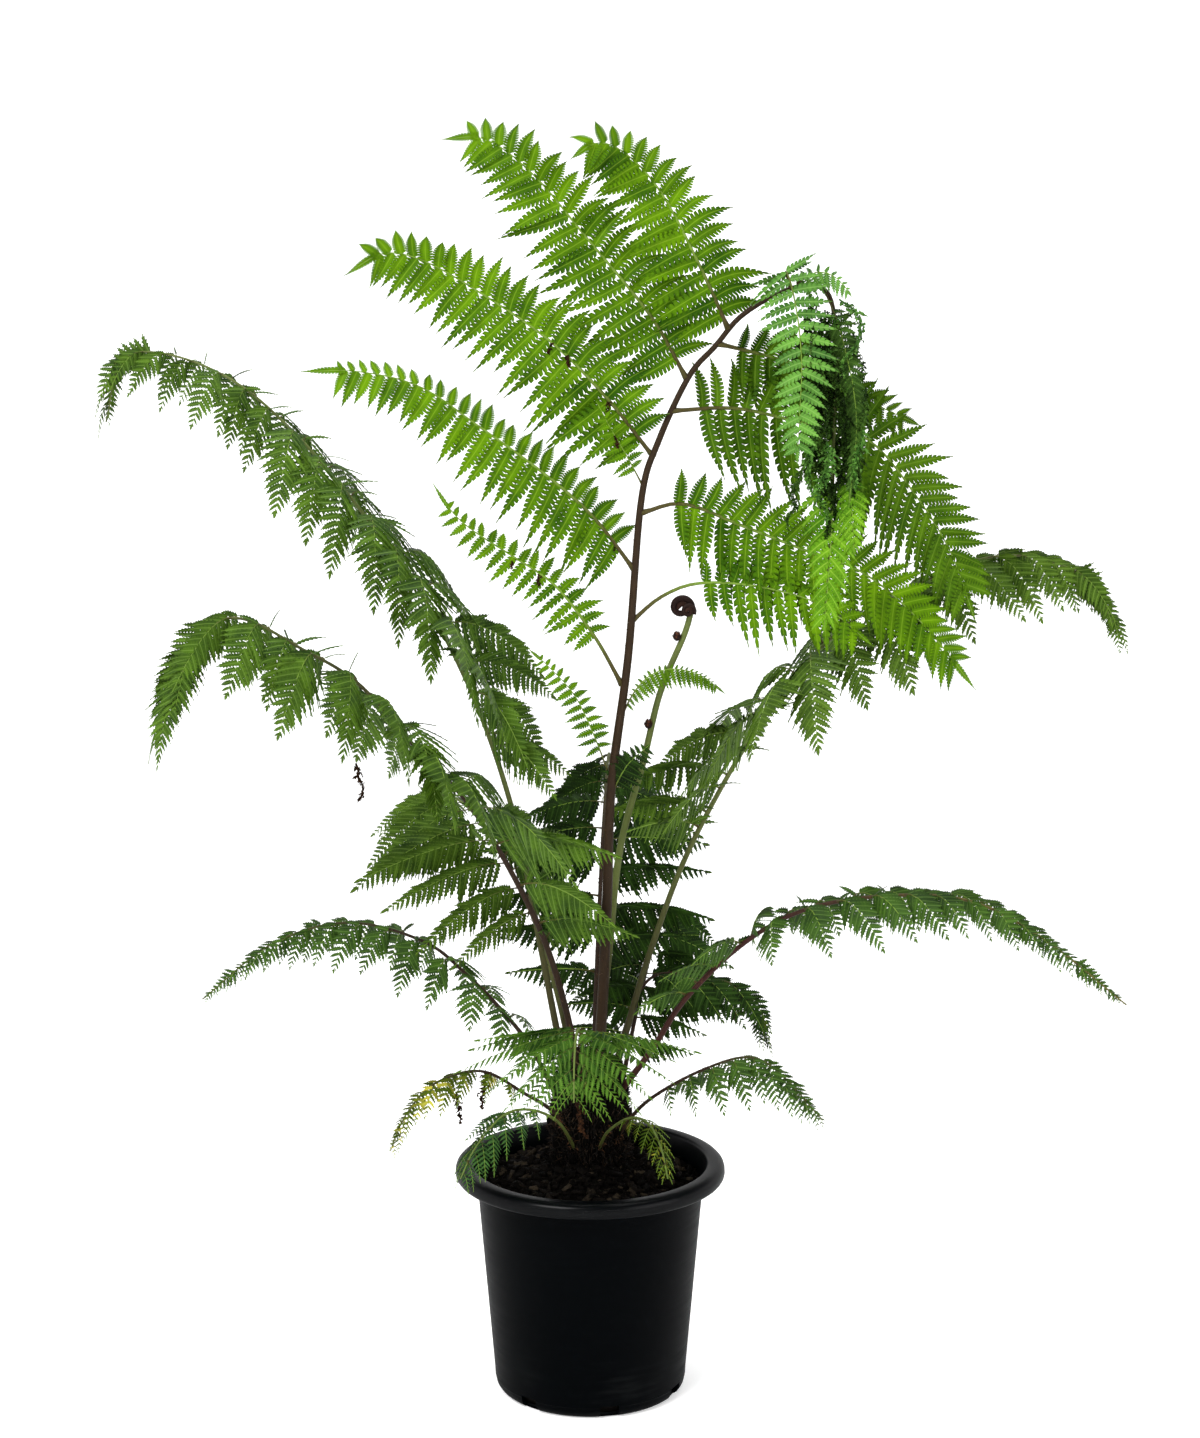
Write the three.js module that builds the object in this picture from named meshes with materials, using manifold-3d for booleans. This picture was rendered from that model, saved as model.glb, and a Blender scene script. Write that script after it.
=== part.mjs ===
// A young Australian tree fern in a black nursery pot.
// Millimetres, +Z up. The origin is the centre of the pot's foot, on the ground, and the front is -Y.

import * as THREE from 'three';
import { mergeVertices } from 'three/addons/utils/BufferGeometryUtils.js';
import Module from 'manifold-3d';

const wasm = await Module();
wasm.setup();

// Fit between pieces that touch
const FIT = 0.3;
const SOCKET_FIT = FIT + 0.1;

// Pot
const POT_HEIGHT = 288;
const RIM_RADIUS = 165;
const RIM_OPENING = 143;
const RIM_DROP = 19;
const BODY_TOP = 139;
const BODY_FOOT = 117;
const FOOT_FLAT = 105;
const FOOT_CURVE = 13;
const LIP_ROUND = 5;
const RIM_ROLL = 9;
const WALL = 2.6;
const FLOOR = 3;
const POT_SIDES = 36;

// Drain holes round the foot
const DRAINS = 7;
const DRAIN_WIDTH = 23;
const DRAIN_HEIGHT = 13;
const DRAIN_DEPTH = 24;
const DRAIN_FIRST = -39.6;

// Potting mix
const SOIL_EDGE = 262;
const SOIL_CROWN = 284;
const SOIL_RELIEF = 3;
const SOIL_CLEAR = FIT + 1.2;
const SOIL_SIDES = 28;

// Trunk, a little behind the pot's axis
const TRUNK = new THREE.Vector3(0, 25, 0);
const TRUNK_FOOT = 190;
const TRUNK_TOP = 424;
const TRUNK_RADIUS = 47;
const TRUNK_SCALE = 4;
const TRUNK_SIDES = 18;
const TRUNK_RINGS = 11;

// Leaf blades
const RIB_HEIGHT = 1.4;
const BLADE_CLEAR = 0.5;
const NOTCH = 1.1;
const ROOT_SHARE = 0.35;
const LOUVRE = 16;
const LEAFLET_SWEEP = 0.42;
const LEAFY_END = 0.96;
const SWINGS = [0, 14, -14, 28, -28, 42, -42, 60, -60];
const SHORTENINGS = [1, 0.8, 0.6, 0.42];
const PINNA_STALK = 0.12;
const STEM_STEP = 72;
const STEM_SIDES = 5;

// How a pinna arches: how far its start already falls, where it bends, how much hangs below the bend
// and how far the last ones lean along the stem
const START_FALL = 0.3;
const BEND_AT = 0.34;
const HANG_SHARE = 0.72;
const LEAN = 0.3;

const UP = new THREE.Vector3(0, 0, 1);
const DOWN = new THREE.Vector3(0, 0, -1);
const DEPTH = new THREE.Vector3(0, 1, 0);

// Colours
const POT_BLACK = 0x11161a;
const SOIL_BROWN = 0x2a1d15;
const TRUNK_BROWN = 0x241a12;
const BRIGHT_LEAF = 0x5d9a2c;
const DARK_LEAF = 0x35602f;
const YOUNG_LEAF = 0x4e8a35;
const YELLOW_LEAF = 0x8a9a35;
const COIL_BROWN = 0x4a3320;

// Steady pseudo-random numbers from 0 to 1
class Draw {
  constructor(seed) {
    this.state = seed;
  }

  next() {
    this.state = (this.state * 9301 + 49297) % 233280;
    return this.state / 233280;
  }

  around(middle, spread) {
    return middle + spread * (2 * this.next() - 1);
  }
}

function mix(a, b, t) {
  return a + (b - a) * t;
}

function degrees(angle) {
  return THREE.MathUtils.degToRad(angle);
}

// A smooth curve through points given as [x, y, z]
function curveThrough(points) {
  const path = points.map((point) => new THREE.Vector3(...point));
  return new THREE.CatmullRomCurve3(path, false, 'catmullrom', 0.5);
}

function solidOf(positions, triangles) {
  const loose = new THREE.BufferGeometry();
  loose.setAttribute('position', new THREE.Float32BufferAttribute(positions, 3));
  loose.setIndex(triangles);
  return solidOfGeometry(loose);
}

function solidOfGeometry(geometry) {
  geometry.deleteAttribute('normal');
  geometry.deleteAttribute('uv');
  const merged = mergeVertices(geometry, 1e-4);
  const mesh = new wasm.Mesh({
    numProp: 3,
    vertProperties: new Float32Array(merged.attributes.position.array),
    triVerts: new Uint32Array(merged.index.array),
  });
  return new wasm.Manifold(mesh);
}

// The largest body of a solid, without any loose scrap
function mainBody(solid) {
  const bodies = solid.decompose();
  bodies.sort((a, b) => b.volume() - a.volume());
  return bodies[0];
}

function geometryOf(solid) {
  const mesh = solid.getMesh();
  const geometry = new THREE.BufferGeometry();
  geometry.setAttribute('position', new THREE.BufferAttribute(mesh.vertProperties, 3));
  geometry.setIndex(new THREE.BufferAttribute(mesh.triVerts, 1));
  geometry.computeVertexNormals();
  return geometry;
}

function boxesMeet(a, b) {
  const first = a.boundingBox();
  const second = b.boundingBox();
  return [0, 1, 2].every((axis) => (
    first.min[axis] < second.max[axis] && second.min[axis] < first.max[axis]
  ));
}

function touches(solid, others) {
  return others.some((other) => boxesMeet(solid, other) && !solid.intersect(other).isEmpty());
}

// A closed tapering tube along a curve
function tube(curve, radiusAt, steps, sides) {
  const frames = curve.computeFrenetFrames(steps, false);
  const positions = [];
  const triangles = [];
  for (let step = 0; step <= steps; step += 1) {
    const t = step / steps;
    const centre = curve.getPointAt(t);
    for (let side = 0; side < sides; side += 1) {
      const angle = (2 * Math.PI * side) / sides;
      const point = centre.clone();
      point.addScaledVector(frames.normals[step], radiusAt(t) * Math.cos(angle));
      point.addScaledVector(frames.binormals[step], radiusAt(t) * Math.sin(angle));
      positions.push(...point.toArray());
    }
  }
  for (let step = 0; step < steps; step += 1) {
    for (let side = 0; side < sides; side += 1) {
      const a = step * sides + side;
      const b = step * sides + ((side + 1) % sides);
      triangles.push(a, b, a + sides, b, b + sides, a + sides);
    }
  }
  for (let side = 1; side < sides - 1; side += 1) {
    const last = steps * sides;
    triangles.push(0, side + 1, side);
    triangles.push(last, last + side, last + side + 1);
  }
  return solidOf(positions, triangles);
}

// The share of a pinna's full width that a leaflet has, from its base (0) to its tip (1)
function leafletShare(along) {
  return Math.min(1, 0.6 + 1.6 * along) * (1 - 0.82 * along ** 2.2);
}

// A pinna: one thin arched blade, thickest at its rib and cut to the rib between its leaflets.
// facing is the direction that its flat side looks in, twist turns it like a louvre.
function pinnaBlade(pinna, extra = 0) {
  const { curve, facing, twist, stalk, leaflets, width } = pinna;
  const positions = [];
  const triangles = [];

  const frameAt = (t) => {
    const tangent = curve.getTangentAt(t);
    const side = new THREE.Vector3().crossVectors(facing, tangent).normalize();
    side.applyAxisAngle(tangent, degrees(twist));
    const normal = new THREE.Vector3().crossVectors(tangent, side);
    return { centre: curve.getPointAt(t), tangent, side, normal };
  };
  const add = (point) => {
    positions.push(...point.toArray());
    return positions.length / 3 - 1;
  };
  const station = (t, share = 1) => {
    const { centre, side, normal } = frameAt(t);
    const rib = share * mix(RIB_HEIGHT, 0.5 * RIB_HEIGHT, t) + extra;
    const notch = share * mix(NOTCH, 0.6 * NOTCH, t) + extra;
    const flat = centre.clone().addScaledVector(normal, -extra);
    return {
      top: add(centre.clone().addScaledVector(normal, rib)),
      left: add(flat.clone().addScaledVector(side, -notch)),
      right: add(flat.clone().addScaledVector(side, notch)),
    };
  };
  const leafletTip = (t, reach) => {
    const { centre, tangent, side } = frameAt(t);
    const forward = LEAFLET_SWEEP * Math.abs(reach);
    return add(centre.addScaledVector(side, reach).addScaledVector(tangent, forward));
  };

  const root = station(0, ROOT_SHARE);
  triangles.push(root.top, root.right, root.left);
  let last = station(stalk);
  for (const [a, b] of [['top', 'left'], ['left', 'right'], ['right', 'top']]) {
    triangles.push(root[a], root[b], last[a], root[b], last[b], last[a]);
  }
  for (let leaflet = 0; leaflet < leaflets; leaflet += 1) {
    const share = leafletShare((leaflet + 0.5) / leaflets);
    const middle = mix(stalk, LEAFY_END, (leaflet + 0.45) / leaflets);
    const next = station(mix(stalk, LEAFY_END, (leaflet + 1) / leaflets));
    const leftTip = leafletTip(middle, -width * share);
    const rightTip = leafletTip(middle, width * share);
    triangles.push(last.top, last.left, leftTip, last.top, leftTip, next.top);
    triangles.push(next.top, leftTip, next.left);
    triangles.push(last.right, last.top, rightTip, rightTip, last.top, next.top);
    triangles.push(rightTip, next.top, next.right);
    triangles.push(last.left, next.left, leftTip, last.right, rightTip, next.right);
    triangles.push(last.left, last.right, next.left, last.right, next.right, next.left);
    last = next;
  }
  const tip = add(curve.getPointAt(1));
  for (const [a, b] of [['top', 'left'], ['left', 'right'], ['right', 'top']]) {
    triangles.push(last[a], last[b], tip);
  }
  return solidOf(positions, triangles);
}

// The nursery pot, with a rolled rim and drain holes at the edge of its foot
function potSolid() {
  const rimUnder = POT_HEIGHT - RIM_DROP;
  const outline = [
    [0, 0],
    [FOOT_FLAT, 0],
    [FOOT_FLAT + 0.7 * (BODY_FOOT - FOOT_FLAT), 0.3 * FOOT_CURVE],
    [BODY_FOOT, FOOT_CURVE],
    [BODY_TOP, rimUnder],
    [RIM_RADIUS - LIP_ROUND, rimUnder],
    [RIM_RADIUS, rimUnder + LIP_ROUND],
    [RIM_RADIUS - 1, POT_HEIGHT - LIP_ROUND - 1],
    [RIM_RADIUS - LIP_ROUND, POT_HEIGHT - 1],
    [RIM_RADIUS - RIM_ROLL, POT_HEIGHT],
    [RIM_OPENING + 3, POT_HEIGHT],
    [RIM_OPENING, POT_HEIGHT - 3],
    [BODY_TOP - WALL, rimUnder - 6],
    [BODY_FOOT - WALL, FOOT_CURVE + 1],
    [FOOT_FLAT, FLOOR],
    [0, FLOOR],
  ];
  const points = outline.map(([radius, height]) => new THREE.Vector2(radius, height));
  const lathe = new THREE.LatheGeometry(points, POT_SIDES);
  lathe.rotateX(Math.PI / 2);
  let pot = solidOfGeometry(lathe);
  for (let hole = 0; hole < DRAINS; hole += 1) {
    const box = new THREE.BoxGeometry(DRAIN_WIDTH, DRAIN_DEPTH, DRAIN_HEIGHT);
    box.translate(0, -(FOOT_FLAT + 2 + DRAIN_DEPTH / 2), DRAIN_HEIGHT / 2 + 1);
    box.rotateZ(degrees(DRAIN_FIRST + (hole * 360) / DRAINS));
    pot = pot.subtract(solidOfGeometry(box));
  }
  return pot;
}

// How far the potting mix stands up from its smooth mound, as coarse bark pieces
function barkRelief(x, y) {
  const coarse = Math.sin(0.21 * x + 1.3) * Math.cos(0.24 * y - 0.6);
  const fine = Math.sin(0.47 * x - 0.38 * y + 2.1);
  return SOIL_RELIEF * (0.6 * coarse + 0.4 * fine);
}

function soilSolid() {
  const inside = BODY_TOP - WALL - SOIL_CLEAR;
  const foot = BODY_FOOT - WALL - SOIL_CLEAR;
  const rings = [
    [0, FLOOR + FIT],
    [FOOT_FLAT - 2, FLOOR + FIT],
    [foot, FOOT_CURVE + 3],
    [inside, SOIL_EDGE],
    [inside - 16, SOIL_EDGE + 3],
    [inside - 36, SOIL_EDGE + 9],
    [inside - 58, SOIL_EDGE + 15],
    [TRUNK_RADIUS + 6, SOIL_CROWN],
    [0, SOIL_CROWN],
  ];
  const lathe = new THREE.LatheGeometry(rings.map(([r, z]) => new THREE.Vector2(r, z)), SOIL_SIDES);
  lathe.rotateX(Math.PI / 2);
  const spots = lathe.attributes.position;
  for (let spot = 0; spot < spots.count; spot += 1) {
    const x = spots.getX(spot);
    const y = spots.getY(spot);
    const z = spots.getZ(spot);
    if (z > SOIL_EDGE + 1) {
      spots.setZ(spot, z + barkRelief(x, y));
    }
  }
  return solidOfGeometry(lathe);
}

// The trunk's radius at a height, as a share of its greatest
function trunkShape(height) {
  const t = (height - TRUNK_FOOT) / (TRUNK_TOP - TRUNK_FOOT);
  const taper = t < 0.35 ? 0.93 + 0.2 * t : 1;
  const dome = t > 0.6 ? Math.sqrt(Math.max(0, 1 - ((t - 0.6) / 0.4) ** 2.4)) : 1;
  return taper * dome;
}

// Old stalk bases stand out of the trunk in a spiral
function trunkSolid(extra) {
  const points = [new THREE.Vector2(0, TRUNK_FOOT - extra)];
  for (let ring = 0; ring < TRUNK_RINGS; ring += 1) {
    const t = ring / TRUNK_RINGS;
    const height = mix(TRUNK_FOOT, TRUNK_TOP, t ** 0.85);
    const low = ring === 0 ? -extra : 0;
    points.push(new THREE.Vector2(TRUNK_RADIUS * trunkShape(height) + extra, height + low));
  }
  points.push(new THREE.Vector2(0, TRUNK_TOP));
  const lathe = new THREE.LatheGeometry(points, TRUNK_SIDES);
  lathe.rotateX(Math.PI / 2);
  const spots = lathe.attributes.position;
  for (let spot = 0; spot < spots.count; spot += 1) {
    const x = spots.getX(spot);
    const y = spots.getY(spot);
    const z = spots.getZ(spot);
    const radius = Math.hypot(x, y);
    if (z > SOIL_CROWN && radius > 1) {
      const wave = Math.cos(5 * Math.atan2(y, x) + 0.11 * z) * Math.cos(3 * Math.atan2(y, x) - 0.17 * z);
      const scale = 1 + (TRUNK_SCALE * wave) / radius;
      spots.setX(spot, x * scale);
      spots.setY(spot, y * scale);
    }
  }
  lathe.translate(TRUNK.x, TRUNK.y, 0);
  return solidOfGeometry(lathe);
}

// Fronds. stem: points from inside the trunk to the tip. girth: the stem's radius at its foot and tip.
// bare: the share of the stem with no pinnae. pairs, reach, width and leaflets: the pinnae, their
// greatest length and half width, and the leaflets on each side of the longest one. lift and droop:
// at the first and last pinna, how far both rows are raised out of a flat plane, in degrees, and how
// much of a pinna hangs. last: the share of the reach that is left at the tip.
const FORMULA_FRONDS = [
  {
    name: 'frond_upper_left',
    leaf: DARK_LEAF,
    stem: [
      [-28, 34, 380], [-42, 37, 445], [-60, 45, 540], [-92, 50, 705], [-140, 60, 850], [-205, 70, 980],
      [-270, 80, 1070], [-350, 88, 1165], [-425, 95, 1230], [-505, 105, 1262], [-562, 112, 1255],
      [-585, 120, 1180],
    ],
    girth: [5, 1],
    bare: 0.34,
    pairs: 16,
    reach: 215,
    width: 26,
    leaflets: 3,
    lift: [62, 40],
    droop: [0.6, 0.95],
    last: 0.2,
    seed: 11,
  },
  {
    name: 'frond_middle_left',
    leaf: DARK_LEAF,
    stem: [
      [-14, 8, 385], [-30, 0, 480], [-65, -20, 595], [-135, -38, 730], [-205, -58, 815],
      [-270, -78, 895], [-335, -98, 940], [-392, -112, 974], [-432, -122, 970], [-462, -132, 924],
      [-480, -138, 866],
    ],
    girth: [5, 1],
    bare: 0.2,
    pairs: 14,
    reach: 195,
    width: 26,
    leaflets: 3,
    lift: [66, 36],
    droop: [0.45, 0.95],
    last: 0.5,
    seed: 23,
  },
  {
    name: 'frond_low_left',
    leaf: DARK_LEAF,
    stem: [
      [-36, 24, 350], [-72, 30, 420], [-105, 45, 460], [-150, 55, 505], [-205, 70, 545],
      [-300, 85, 565], [-395, 95, 535], [-485, 110, 460],
    ],
    girth: [3.5, 0.9],
    bare: 0.12,
    pairs: 12,
    reach: 110,
    width: 15,
    leaflets: 3,
    lift: [55, 30],
    droop: [0.75, 0.95],
    last: 0.12,
    seed: 31,
  },
  {
    name: 'frond_rear_left',
    leaf: DARK_LEAF,
    stem: [
      [-18, 56, 370], [-42, 84, 475], [-75, 122, 570], [-115, 162, 640], [-155, 212, 682],
      [-195, 272, 690], [-228, 335, 662],
    ],
    girth: [4, 1],
    bare: 0.36,
    pairs: 10,
    reach: 195,
    width: 24,
    leaflets: 3,
    lift: [10, 10],
    droop: [0.45, 0.7],
    last: 0.3,
    seed: 43,
  },
  {
    name: 'frond_low_right',
    leaf: DARK_LEAF,
    stem: [
      [34, 12, 368], [75, -5, 430], [115, -25, 500], [185, -45, 575], [260, -65, 622], [360, -82, 642],
      [450, -100, 638], [535, -120, 595], [625, -140, 525],
    ],
    girth: [4.6, 0.9],
    bare: 0.2,
    pairs: 14,
    reach: 118,
    width: 16,
    leaflets: 3,
    lift: [72, 40],
    droop: [0.5, 0.95],
    last: 0.12,
    seed: 57,
  },
  {
    name: 'frond_upper_right',
    leaf: DARK_LEAF,
    stem: [
      [28, 40, 380], [46, 46, 445], [75, 60, 540], [125, 72, 670], [210, 88, 820], [290, 102, 915],
      [365, 112, 965], [490, 126, 1015], [595, 136, 995], [655, 146, 915],
    ],
    girth: [5, 1],
    bare: 0.3,
    pairs: 15,
    reach: 200,
    width: 25,
    leaflets: 3,
    lift: [66, 40],
    droop: [0.5, 0.95],
    last: 0.25,
    seed: 61,
  },
  {
    name: 'frond_middle_right',
    leaf: DARK_LEAF,
    stem: [[24, 60, 368], [50, 74, 455], [80, 84, 498], [140, 95, 492], [195, 108, 470], [222, 120, 400]],
    girth: [3.2, 0.8],
    bare: 0.3,
    pairs: 8,
    reach: 92,
    width: 12,
    leaflets: 3,
    lift: [30, 10],
    droop: [0.5, 0.85],
    last: 0.3,
    seed: 71,
  },
  {
    name: 'frond_rear',
    leaf: DARK_LEAF,
    stem: [[4, 60, 375], [8, 100, 500], [14, 165, 630], [20, 250, 710], [24, 350, 725], [28, 450, 650]],
    girth: [4.5, 1],
    bare: 0.16,
    pairs: 13,
    reach: 160,
    width: 20,
    leaflets: 3,
    lift: [10, 0],
    droop: [0.35, 0.75],
    last: 0.2,
    seed: 83,
  },
  {
    name: 'frond_rear_right',
    leaf: DARK_LEAF,
    stem: [[36, 30, 362], [62, 95, 470], [84, 150, 532], [105, 210, 548], [122, 268, 512]],
    girth: [3.6, 0.9],
    bare: 0.16,
    pairs: 11,
    reach: 130,
    width: 16,
    leaflets: 3,
    lift: [20, 0],
    droop: [0.4, 0.8],
    last: 0.3,
    seed: 97,
  },
  {
    name: 'frond_front',
    leaf: YOUNG_LEAF,
    stem: [
      [-6, -8, 366], [-8, -36, 432], [-12, -80, 476],
      [-16, -130, 484], [-18, -175, 464], [-18, -206, 428],
    ],
    girth: [3.4, 0.9],
    bare: 0.3,
    pairs: 8,
    reach: 150,
    width: 17,
    leaflets: 3,
    lift: [12, 0],
    droop: [0.3, 0.75],
    last: 0.3,
    seed: 101,
  },
  {
    name: 'frond_yellowing',
    leaf: YELLOW_LEAF,
    stem: [
      [-26, -4, 325], [-48, -18, 358], [-78, -32, 382], [-130, -45, 415], [-185, -60, 405],
      [-220, -75, 370], [-238, -90, 330],
    ],
    girth: [3, 0.8],
    bare: 0.3,
    pairs: 9,
    reach: 58,
    width: 9,
    leaflets: 2,
    lift: [20, 10],
    droop: [0.6, 0.9],
    last: 0.3,
    seed: 113,
  },
  {
    name: 'frond_front_right',
    leaf: DARK_LEAF,
    stem: [
      [28, -4, 310], [48, -14, 345], [78, -26, 378], [135, -40, 415],
      [190, -52, 435], [228, -66, 418], [278, -80, 365],
    ],
    girth: [3, 0.8],
    bare: 0.3,
    pairs: 9,
    reach: 80,
    width: 11,
    leaflets: 2,
    lift: [15, 10],
    droop: [0.6, 0.9],
    last: 0.25,
    seed: 127,
  },
  {
    name: 'frond_over_rim',
    leaf: YOUNG_LEAF,
    stem: [
      [-18, -12, 305], [-38, -38, 348], [-70, -62, 372],
      [-103, -92, 375], [-135, -122, 345], [-152, -146, 315],
    ],
    girth: [2.6, 0.8],
    bare: 0.34,
    pairs: 6,
    reach: 66,
    width: 9,
    leaflets: 2,
    lift: [0, 0],
    droop: [0.45, 0.8],
    last: 0.4,
    seed: 131,
  },
  {
    name: 'frond_over_soil',
    leaf: YELLOW_LEAF,
    stem: [
      [10, -14, 306], [22, -40, 338], [48, -62, 362],
      [70, -84, 362], [85, -108, 338], [92, -126, 308],
    ],
    girth: [2.4, 0.8],
    bare: 0.36,
    pairs: 5,
    reach: 52,
    width: 8,
    leaflets: 2,
    lift: [0, 0],
    droop: [0.4, 0.7],
    last: 0.4,
    seed: 139,
  },
];

// The tall main frond. Its pinnae are large and each has its own sweep.
const MAIN_STEM = [
  [8, 10, 385], [14, 0, 480], [20, -4, 615], [25, -6, 755], [45, -8, 915], [60, -10, 1100], [80, -14, 1170],
  [115, -16, 1245], [145, -20, 1280], [175, -22, 1315], [220, -25, 1342], [258, -28, 1350], [280, -32, 1325],
  [283, -40, 1220], [281, -46, 1130], [278, -52, 1035], [272, -60, 955],
];
const MAIN_GIRTH = [6, 1.2];
const MAIN_SIDES = 7;
const MAIN_TWIST = 8;
const MAIN_SEED = 7;

// points: a pinna from the stem to its tip. width: its half width. leaflets: on each side.
// stalk: the share of it below the first leaflet.
const MAIN_PINNAE = [
  {
    points: [
      [160, -22, 1300], [130, -32, 1365], [85, -44, 1450],
      [45, -56, 1496], [10, -68, 1511], [-22, -80, 1492],
    ],
    width: 66,
    leaflets: 11,
    stalk: 0.12,
  },
  {
    points: [
      [112, -16, 1243], [70, -8, 1315], [-5, 2, 1405],
      [-65, 10, 1475], [-120, 18, 1515], [-172, 26, 1515],
    ],
    width: 72,
    leaflets: 12,
    stalk: 0.2,
  },
  {
    points: [
      [75, -12, 1150], [20, -18, 1220], [-45, -28, 1286], [-125, -40, 1342],
      [-190, -50, 1379], [-235, -56, 1387], [-280, -62, 1362],
    ],
    width: 70,
    leaflets: 12,
    stalk: 0.22,
  },
  {
    points: [
      [52, -9, 1018], [5, -18, 1080], [-50, -30, 1131], [-130, -44, 1191],
      [-195, -54, 1236], [-265, -64, 1254], [-330, -72, 1254],
    ],
    width: 62,
    leaflets: 12,
    stalk: 0.2,
  },
  {
    points: [
      [38, -8, 880], [5, -14, 940], [-40, -20, 1000], [-90, -26, 1036],
      [-135, -30, 1066], [-160, -33, 1089], [-182, -36, 1123],
    ],
    width: 38,
    leaflets: 9,
    stalk: 0.2,
  },
  {
    points: [[63, -10, 1115], [45, -24, 1150], [25, -34, 1185], [8, -42, 1218]],
    width: 24,
    leaflets: 4,
    stalk: 0.2,
  },
  {
    points: [[25, -6, 765], [5, -14, 820], [-18, -22, 870], [-48, -28, 905], [-72, -34, 928]],
    width: 26,
    leaflets: 5,
    stalk: 0.25,
  },
  {
    points: [[148, -20, 1283], [205, -2, 1268], [270, 16, 1247], [330, 32, 1212], [392, 48, 1182]],
    width: 52,
    leaflets: 8,
    stalk: 0.15,
  },
  {
    points: [
      [95, -15, 1205], [170, -6, 1207], [245, 4, 1190], [325, 14, 1170],
      [388, 22, 1098], [430, 28, 1030], [462, 34, 945],
    ],
    width: 68,
    leaflets: 12,
    stalk: 0.12,
  },
  {
    points: [
      [60, -10, 1085], [110, -4, 1095], [180, 4, 1068], [250, 10, 1040],
      [325, 16, 1010], [395, 20, 950], [462, 24, 868],
    ],
    width: 76,
    leaflets: 12,
    stalk: 0.1,
  },
  {
    points: [[48, -8, 955], [85, -2, 985], [130, 4, 1000], [200, 10, 995], [275, 14, 972], [338, 18, 922]],
    width: 60,
    leaflets: 8,
    stalk: 0.18,
  },
  {
    points: [[36, -7, 845], [62, -2, 893], [115, 4, 900], [160, 8, 865]],
    width: 44,
    leaflets: 5,
    stalk: 0.3,
  },
  {
    points: [[26, -6, 748], [45, -14, 785], [72, -24, 812]],
    width: 24,
    leaflets: 4,
    stalk: 0.2,
  },
  {
    points: [[235, -26, 1347], [210, -44, 1375], [182, -60, 1398]],
    width: 42,
    leaflets: 4,
    stalk: 0.1,
  },
  {
    points: [[240, -26, 1348], [242, -60, 1275], [237, -74, 1220], [235, -84, 1158]],
    width: 44,
    leaflets: 7,
    stalk: 0.1,
  },
  {
    points: [[270, -30, 1345], [318, -58, 1290], [330, -72, 1200], [320, -82, 1110]],
    width: 26,
    leaflets: 7,
    stalk: 0.1,
  },
];

// The immature end of the main frond: short pinnae in pairs down the hanging tip
const MAIN_TIP = {
  from: 0.8,
  pairs: 7,
  reach: 52,
  width: 9,
  leaflets: 2,
  twist: 18,
  spread: 0.62,
  fall: 0.75,
};

function stemSolid(frond, extra = 0) {
  const curve = curveThrough(frond.stem);
  const steps = Math.max(6, Math.round(curve.getLength() / STEM_STEP));
  const radiusAt = (t) => mix(frond.girth[0], frond.girth[1], t ** 0.8) + extra;
  return tube(curve, radiusAt, steps, frond.sides ?? STEM_SIDES);
}

// A pinna of a formula frond, swung about the stem and shortened where it has to pass a neighbour
function formulaPinna(frond, spot, swing, length) {
  const { base, along, side, q, forward, scatter } = spot;
  const across = new THREE.Vector3().crossVectors(along, UP).normalize();
  const upper = new THREE.Vector3().crossVectors(across, along);
  const lift = degrees(mix(frond.lift[0], frond.lift[1], q));
  const out = across.multiplyScalar(side * Math.cos(lift)).addScaledVector(upper, Math.sin(lift));
  out.applyAxisAngle(along, degrees(swing));
  out.multiplyScalar(Math.cos(forward)).addScaledVector(along, Math.sin(forward));
  const hang = Math.min(0.97, mix(frond.droop[0], frond.droop[1], q) * scatter);
  const fall = out.clone().multiplyScalar(1 - hang).addScaledVector(DOWN, hang);
  fall.addScaledVector(along, LEAN * q).normalize();
  const start = out.clone().lerp(fall, START_FALL).normalize();
  const bend = base.clone().addScaledVector(start, BEND_AT * length);
  const tip = bend.clone().addScaledVector(fall, HANG_SHARE * length);
  const curve = new THREE.QuadraticBezierCurve3(base, bend, tip);
  const facing = new THREE.Vector3().crossVectors(along, curve.getTangentAt(0.5)).normalize();
  return {
    curve,
    facing: facing.multiplyScalar(side),
    twist: LOUVRE * side,
    stalk: PINNA_STALK,
    leaflets: Math.max(2, Math.round(frond.leaflets * (length / frond.reach))),
    width: frond.width * Math.min(1, 0.35 + (0.8 * length) / frond.reach),
  };
}

// The share of the greatest pinna length along a frond's leafy part
function pinnaShare(q, last) {
  return Math.min(1, 0.62 + 1.5 * q) * (1 - (1 - last) * Math.max(0, (q - 0.35) / 0.65) ** 1.4);
}

function formulaSpots(frond) {
  const curve = curveThrough(frond.stem);
  const draw = new Draw(frond.seed);
  const spots = [];
  for (let pair = 0; pair < frond.pairs; pair += 1) {
    for (const side of [1, -1]) {
      const q = (pair + 0.25 + (side > 0 ? 0 : 0.35) + draw.around(0, 0.06)) / frond.pairs;
      const t = mix(frond.bare, 0.985, q);
      spots.push({
        base: curve.getPointAt(t),
        along: curve.getTangentAt(t),
        side,
        q,
        forward: degrees(draw.around(24, 7)),
        scatter: draw.around(1, 0.12),
        length: frond.reach * pinnaShare(q, frond.last) * draw.around(0.96, 0.1),
      });
    }
  }
  return spots;
}

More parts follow.
